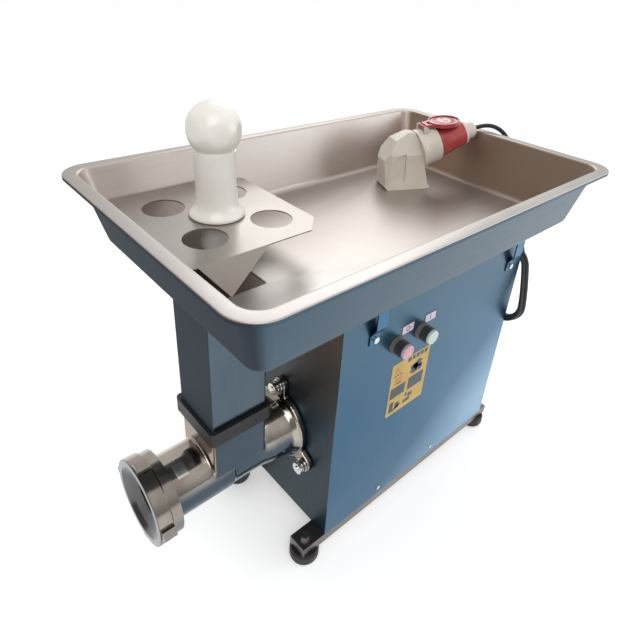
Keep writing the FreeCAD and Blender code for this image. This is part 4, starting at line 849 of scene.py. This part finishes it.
def push_button(name, x, replaced_housings):
    """Cap with a paler rim on the moving body, ribbed sleeve and base ring on the frame."""
    at, out = (x, PANEL_Y, BUTTON_Z), TO_USER
    body, slot = name + "_cap", {"stop": "red_cap", "start": "green_cap"}[name]
    rim = bend((CAP_R, 29.0), (CAP_R, CAP_FRONT), (11.5, CAP_FRONT), 4)
    lathe(name + "_cap_ring", [(0, CAP_BACK), (CAP_R, CAP_BACK)] + rim + [(11.2, 32.2), (0, 32.2)],
          at, out, name + "_rim", body, [name + "_button"])
    lathe(name + "_cap_face", [(0, 31.8), (11.0, 31.8), (11.0, 32.3), (9.0, 32.75), (0, 32.9)],
          at, out, name, body)
    lathe(name + "_base_ring", [(14.0, 0.1), (19.4, 0.1), (19.4, 2.2), (18.9, 3.0), (18.2, 8.2),
                                (17.4, 8.8), (14.0, 8.8)],
          at, out, "base_ring", "frame")
    sleeve = [(SLEEVE_IN, 8.6), (SLEEVE_GROOVE, 8.8)]
    for i in range(RIBS):
        d = RIB_FROM + i * RIB_PITCH
        sleeve += [(SLEEVE_GROOVE, d), (SLEEVE_OUT, d + 0.7), (SLEEVE_OUT, d + 2.9),
                   (SLEEVE_GROOVE, d + 3.6)]
    sleeve += [(17.2, 25.6), (16.6, 26.0), (SLEEVE_IN, 26.0)]
    lathe(name + "_sleeve", sleeve, at, out, "dark", "frame",
          replaced_housings)


push_button("stop", STOP_X, ["button_housings"])
push_button("start", START_X, [])


def stroke_mark(bm, x, z):
    """Upright stroke, the usual sign for on."""
    plate(bm, x - 1.1, x + 1.1, PANEL_Y - 0.8, PANEL_Y - 0.5, z - 5, z + 7, 0.4)


def circle_mark(bm, x, z):
    """Open circle, the usual sign for off."""
    outer = rounded(x - 6, x + 6, z - 5, z + 7, 0, 5.9)
    inner = rounded(x - 4, x + 4, z - 3, z + 5, 0, 3.9)
    rings = []
    for ring, off in ((outer, 0.5), (outer, 0.8), (inner, 0.8), (inner, 0.5)):
        rings.append([Vector((p.x, (PANEL_Y - off) * MM, p.y)) for p in ring])
    bridge(bm, rings, loop=True)


def label(name, x, z, draw_mark, replaces=()):
    """White plate with a dark border and one generic mark."""
    x0, x1, z0, z1 = x - 18, x + 18, z - 10, z + 12
    border = 1.8
    bm = bmesh.new()
    plate(bm, x0, x1, PANEL_Y - 0.55, PANEL_Y, z0, z1, 1.5)
    piece(name + "_plate", bm, "maroon", "frame", replaces)
    bm = bmesh.new()
    plate(bm, x0 + border, x1 - border, PANEL_Y - 0.7, PANEL_Y - 0.4, z0 + border, z1 - border, 1.0)
    piece(name + "_face", bm, "label", "frame")
    bm = bmesh.new()
    draw_mark(bm, x, z)
    piece(name + "_mark", bm, "maroon", "frame")


label("stop_label", 30.0, 525.0, circle_mark)
label("start_label", 99.0, 523.0, stroke_mark, ["notice_plates"])

NOTICE_X, NOTICE_Z, NOTICE_W, NOTICE_H = 1.0, 304.0, 118.0, 142.0
HEADER_BARS = [(48 + 13 * i, 58 + 13 * i, 127 + (i % 2), 138) for i in range(5)]
SHORT_BARS = [(10, 15, 106, 110), (19, 24, 106, 110), (28, 33, 106, 110), (16, 34, 84, 87.5)]
PICTURES = [(5, 50, 48, 76), (60, 108, 46, 79), (62, 84, 100, 112), (76, 98, 88, 104),
            (8, 20, 8, 36), (26, 38, 12, 28), (52, 74, 12, 22), (66, 80, 24, 34), (56, 62, 30, 40)]
PICTURE_OUTLINES = [[(60, 92), (74, 86), (88, 100), (98, 112), (86, 120), (72, 112)],
                    [(20, 6), (44, 16), (40, 22), (22, 14)]]
WARM_BARS = [(14, 34, 92, 101), (88, 102, 96, 101)]
TRIANGLE = [(10, 116), (26, 116), (18, 130)]


def notice_marks(name, mat, blocks, outlines):
    """Raised marks on the notice; a block is (x0, x1, z0, z1) from its lower left corner."""
    back, front = PANEL_Y - 0.75, PANEL_Y - 0.45
    bm = bmesh.new()
    for x0, x1, z0, z1 in blocks:
        plate(bm, NOTICE_X + x0, NOTICE_X + x1, back, front, NOTICE_Z + z0, NOTICE_Z + z1, 0.8)
    for outline in outlines:
        cut_plate(bm, [(NOTICE_X + x, NOTICE_Z + z) for x, z in outline], back, front)
    piece(name, bm, mat, "frame")


def notice():
    """Yellow plate with plain bars, a triangle and dark picture blocks, no lettering."""
    bm = bmesh.new()
    plate(bm, NOTICE_X, NOTICE_X + NOTICE_W, PANEL_Y - 0.5, PANEL_Y, NOTICE_Z,
          NOTICE_Z + NOTICE_H, 3)
    piece("notice_base", bm, "yellow", "frame")
    notice_marks("notice_marks", "navy", HEADER_BARS + SHORT_BARS + PICTURES, PICTURE_OUTLINES)
    notice_marks("notice_warm", "orange", WARM_BARS, [TRIANGLE])


notice()


# ---- socket lid ---------------------------------------------------------------------
LID_TILT = PLUG_TILT - math.radians(10.5)
LID_PIVOT_BACK, LID_PIVOT_UP, LID_DISC = 128.0, 48.5, 53.0
DOME_R, DOME_SINK = 95.0, 86.0
OVAL_HALF_LENGTH, OVAL_HALF_WIDTH = 21.0, 14.5


def lid_oval():
    """Blank oval set into the lid's dome."""
    away = Vector((math.cos(PLUG_ANGLE), math.sin(PLUG_ANGLE), 0))
    side = Vector((-math.sin(PLUG_ANGLE), math.cos(PLUG_ANGLE), 0))
    plug_up = away * -math.sin(PLUG_TILT) + Vector(UP) * math.cos(PLUG_TILT)
    pivot = PLUG_END - PLUG_AXIS * LID_PIVOT_BACK * MM + plug_up * LID_PIVOT_UP * MM
    along_lid = away * math.cos(LID_TILT) + Vector(UP) * math.sin(LID_TILT)
    lid_up = along_lid.cross(side)
    centre = pivot + along_lid * LID_DISC * MM
    rings = []
    count = 48
    for shrink, lift in ((1.0, -0.3), (1.0, 0.05), (0.93, 0.35), (0.0, 0.35)):
        ring = []
        for k in range(count):
            a = TAU * k / count
            u = OVAL_HALF_WIDTH * shrink * math.cos(a)
            v = OVAL_HALF_LENGTH * shrink * math.sin(a)
            height = math.sqrt(DOME_R ** 2 - u * u - v * v) - DOME_SINK + lift
            ring.append(centre + (along_lid * u + side * v + lid_up * height) * MM)
        rings.append(ring)
    bm = bmesh.new()
    bridge(bm, rings, cap_start=True)
    bmesh.ops.remove_doubles(bm, verts=bm.verts, dist=1e-6)
    piece("lid_oval", bm, "pale", "lid")


lid_oval()


# ---- floor, sky and lights -----------------------------------------------------------
FLOOR_HALF = 60
FLOOR_GLOW = 0.34
SKY_BRIGHT_WAY = (0.62, 0.25, 0.74)
SKY_TONES = [(0.0, grey(0.28)), (0.38, grey(0.42)), (0.62, grey(0.95)), (1.0, grey(1.0))]
SKY_STRENGTH = 0.85
WHITE, COOL = (1, 1, 1), (0.85, 0.93, 1.0)


def make_floor():
    """White paper floor, with a slight glow so that it stays white in the shade."""
    bm = bmesh.new()
    bmesh.ops.create_grid(bm, x_segments=4, y_segments=4, size=FLOOR_HALF)
    me = bpy.data.meshes.new("floor")
    bm.to_mesh(me)
    bm.free()
    floor = bpy.data.objects.new("floor", me)
    bpy.context.scene.collection.objects.link(floor)
    mat, nt, bsdf = nodes_of("floor_paper")
    fac = noise_fac(nt, coords(nt), 1.5)
    nt.links.new(ramp(nt, fac, [(0.3, grey(0.86)), (0.7, grey(0.88))]), bsdf.inputs["Base Color"])
    bsdf.inputs["Roughness"].default_value = 0.95
    bsdf.inputs["Specular IOR Level"].default_value = 0.1
    bsdf.inputs["Emission Color"].default_value = (*WHITE, 1)
    bsdf.inputs["Emission Strength"].default_value = FLOOR_GLOW
    me.materials.append(mat)


def make_sky():
    """Soft grey surroundings, brightest above and behind the machine's cord end."""
    world = bpy.data.worlds.new("world")
    world.use_nodes = True
    nt = world.node_tree
    background = nt.nodes["Background"]
    tc = add(nt, "ShaderNodeTexCoord")
    dot = add(nt, "ShaderNodeVectorMath", operation="DOT_PRODUCT")
    dot.inputs[1].default_value = Vector(SKY_BRIGHT_WAY).normalized()
    nt.links.new(tc.outputs["Generated"], dot.inputs[0])
    fac = remap(nt, dot.outputs["Value"], -0.8, 1.0)
    nt.links.new(ramp(nt, fac, SKY_TONES), background.inputs["Color"])
    background.inputs["Strength"].default_value = SKY_STRENGTH
    bpy.context.scene.world = world
    bpy.context.scene.view_settings.view_transform = "Standard"


def area_light(name, place, target, size, power, colour=WHITE):
    data = bpy.data.lights.new(name, "AREA")
    data.energy = power
    data.size = size
    data.color = colour
    obj = bpy.data.objects.new(name, data)
    bpy.context.scene.collection.objects.link(obj)
    obj.location = place
    way = Vector(target) - Vector(place)
    obj.rotation_euler = way.to_track_quat("-Z", "Y").to_euler()


make_floor()
make_sky()
area_light("key", (-1.6, -1.9, 3.0), (0, 0, 0.5), size=2.4, power=48)
area_light("back", (1.8, 1.9, 2.6), (0.1, 0, 0.7), size=1.9, power=22)
area_light("side", (2.2, -2.0, 1.2), (0.1, -0.1, 0.4), size=1.6, power=16, colour=COOL)
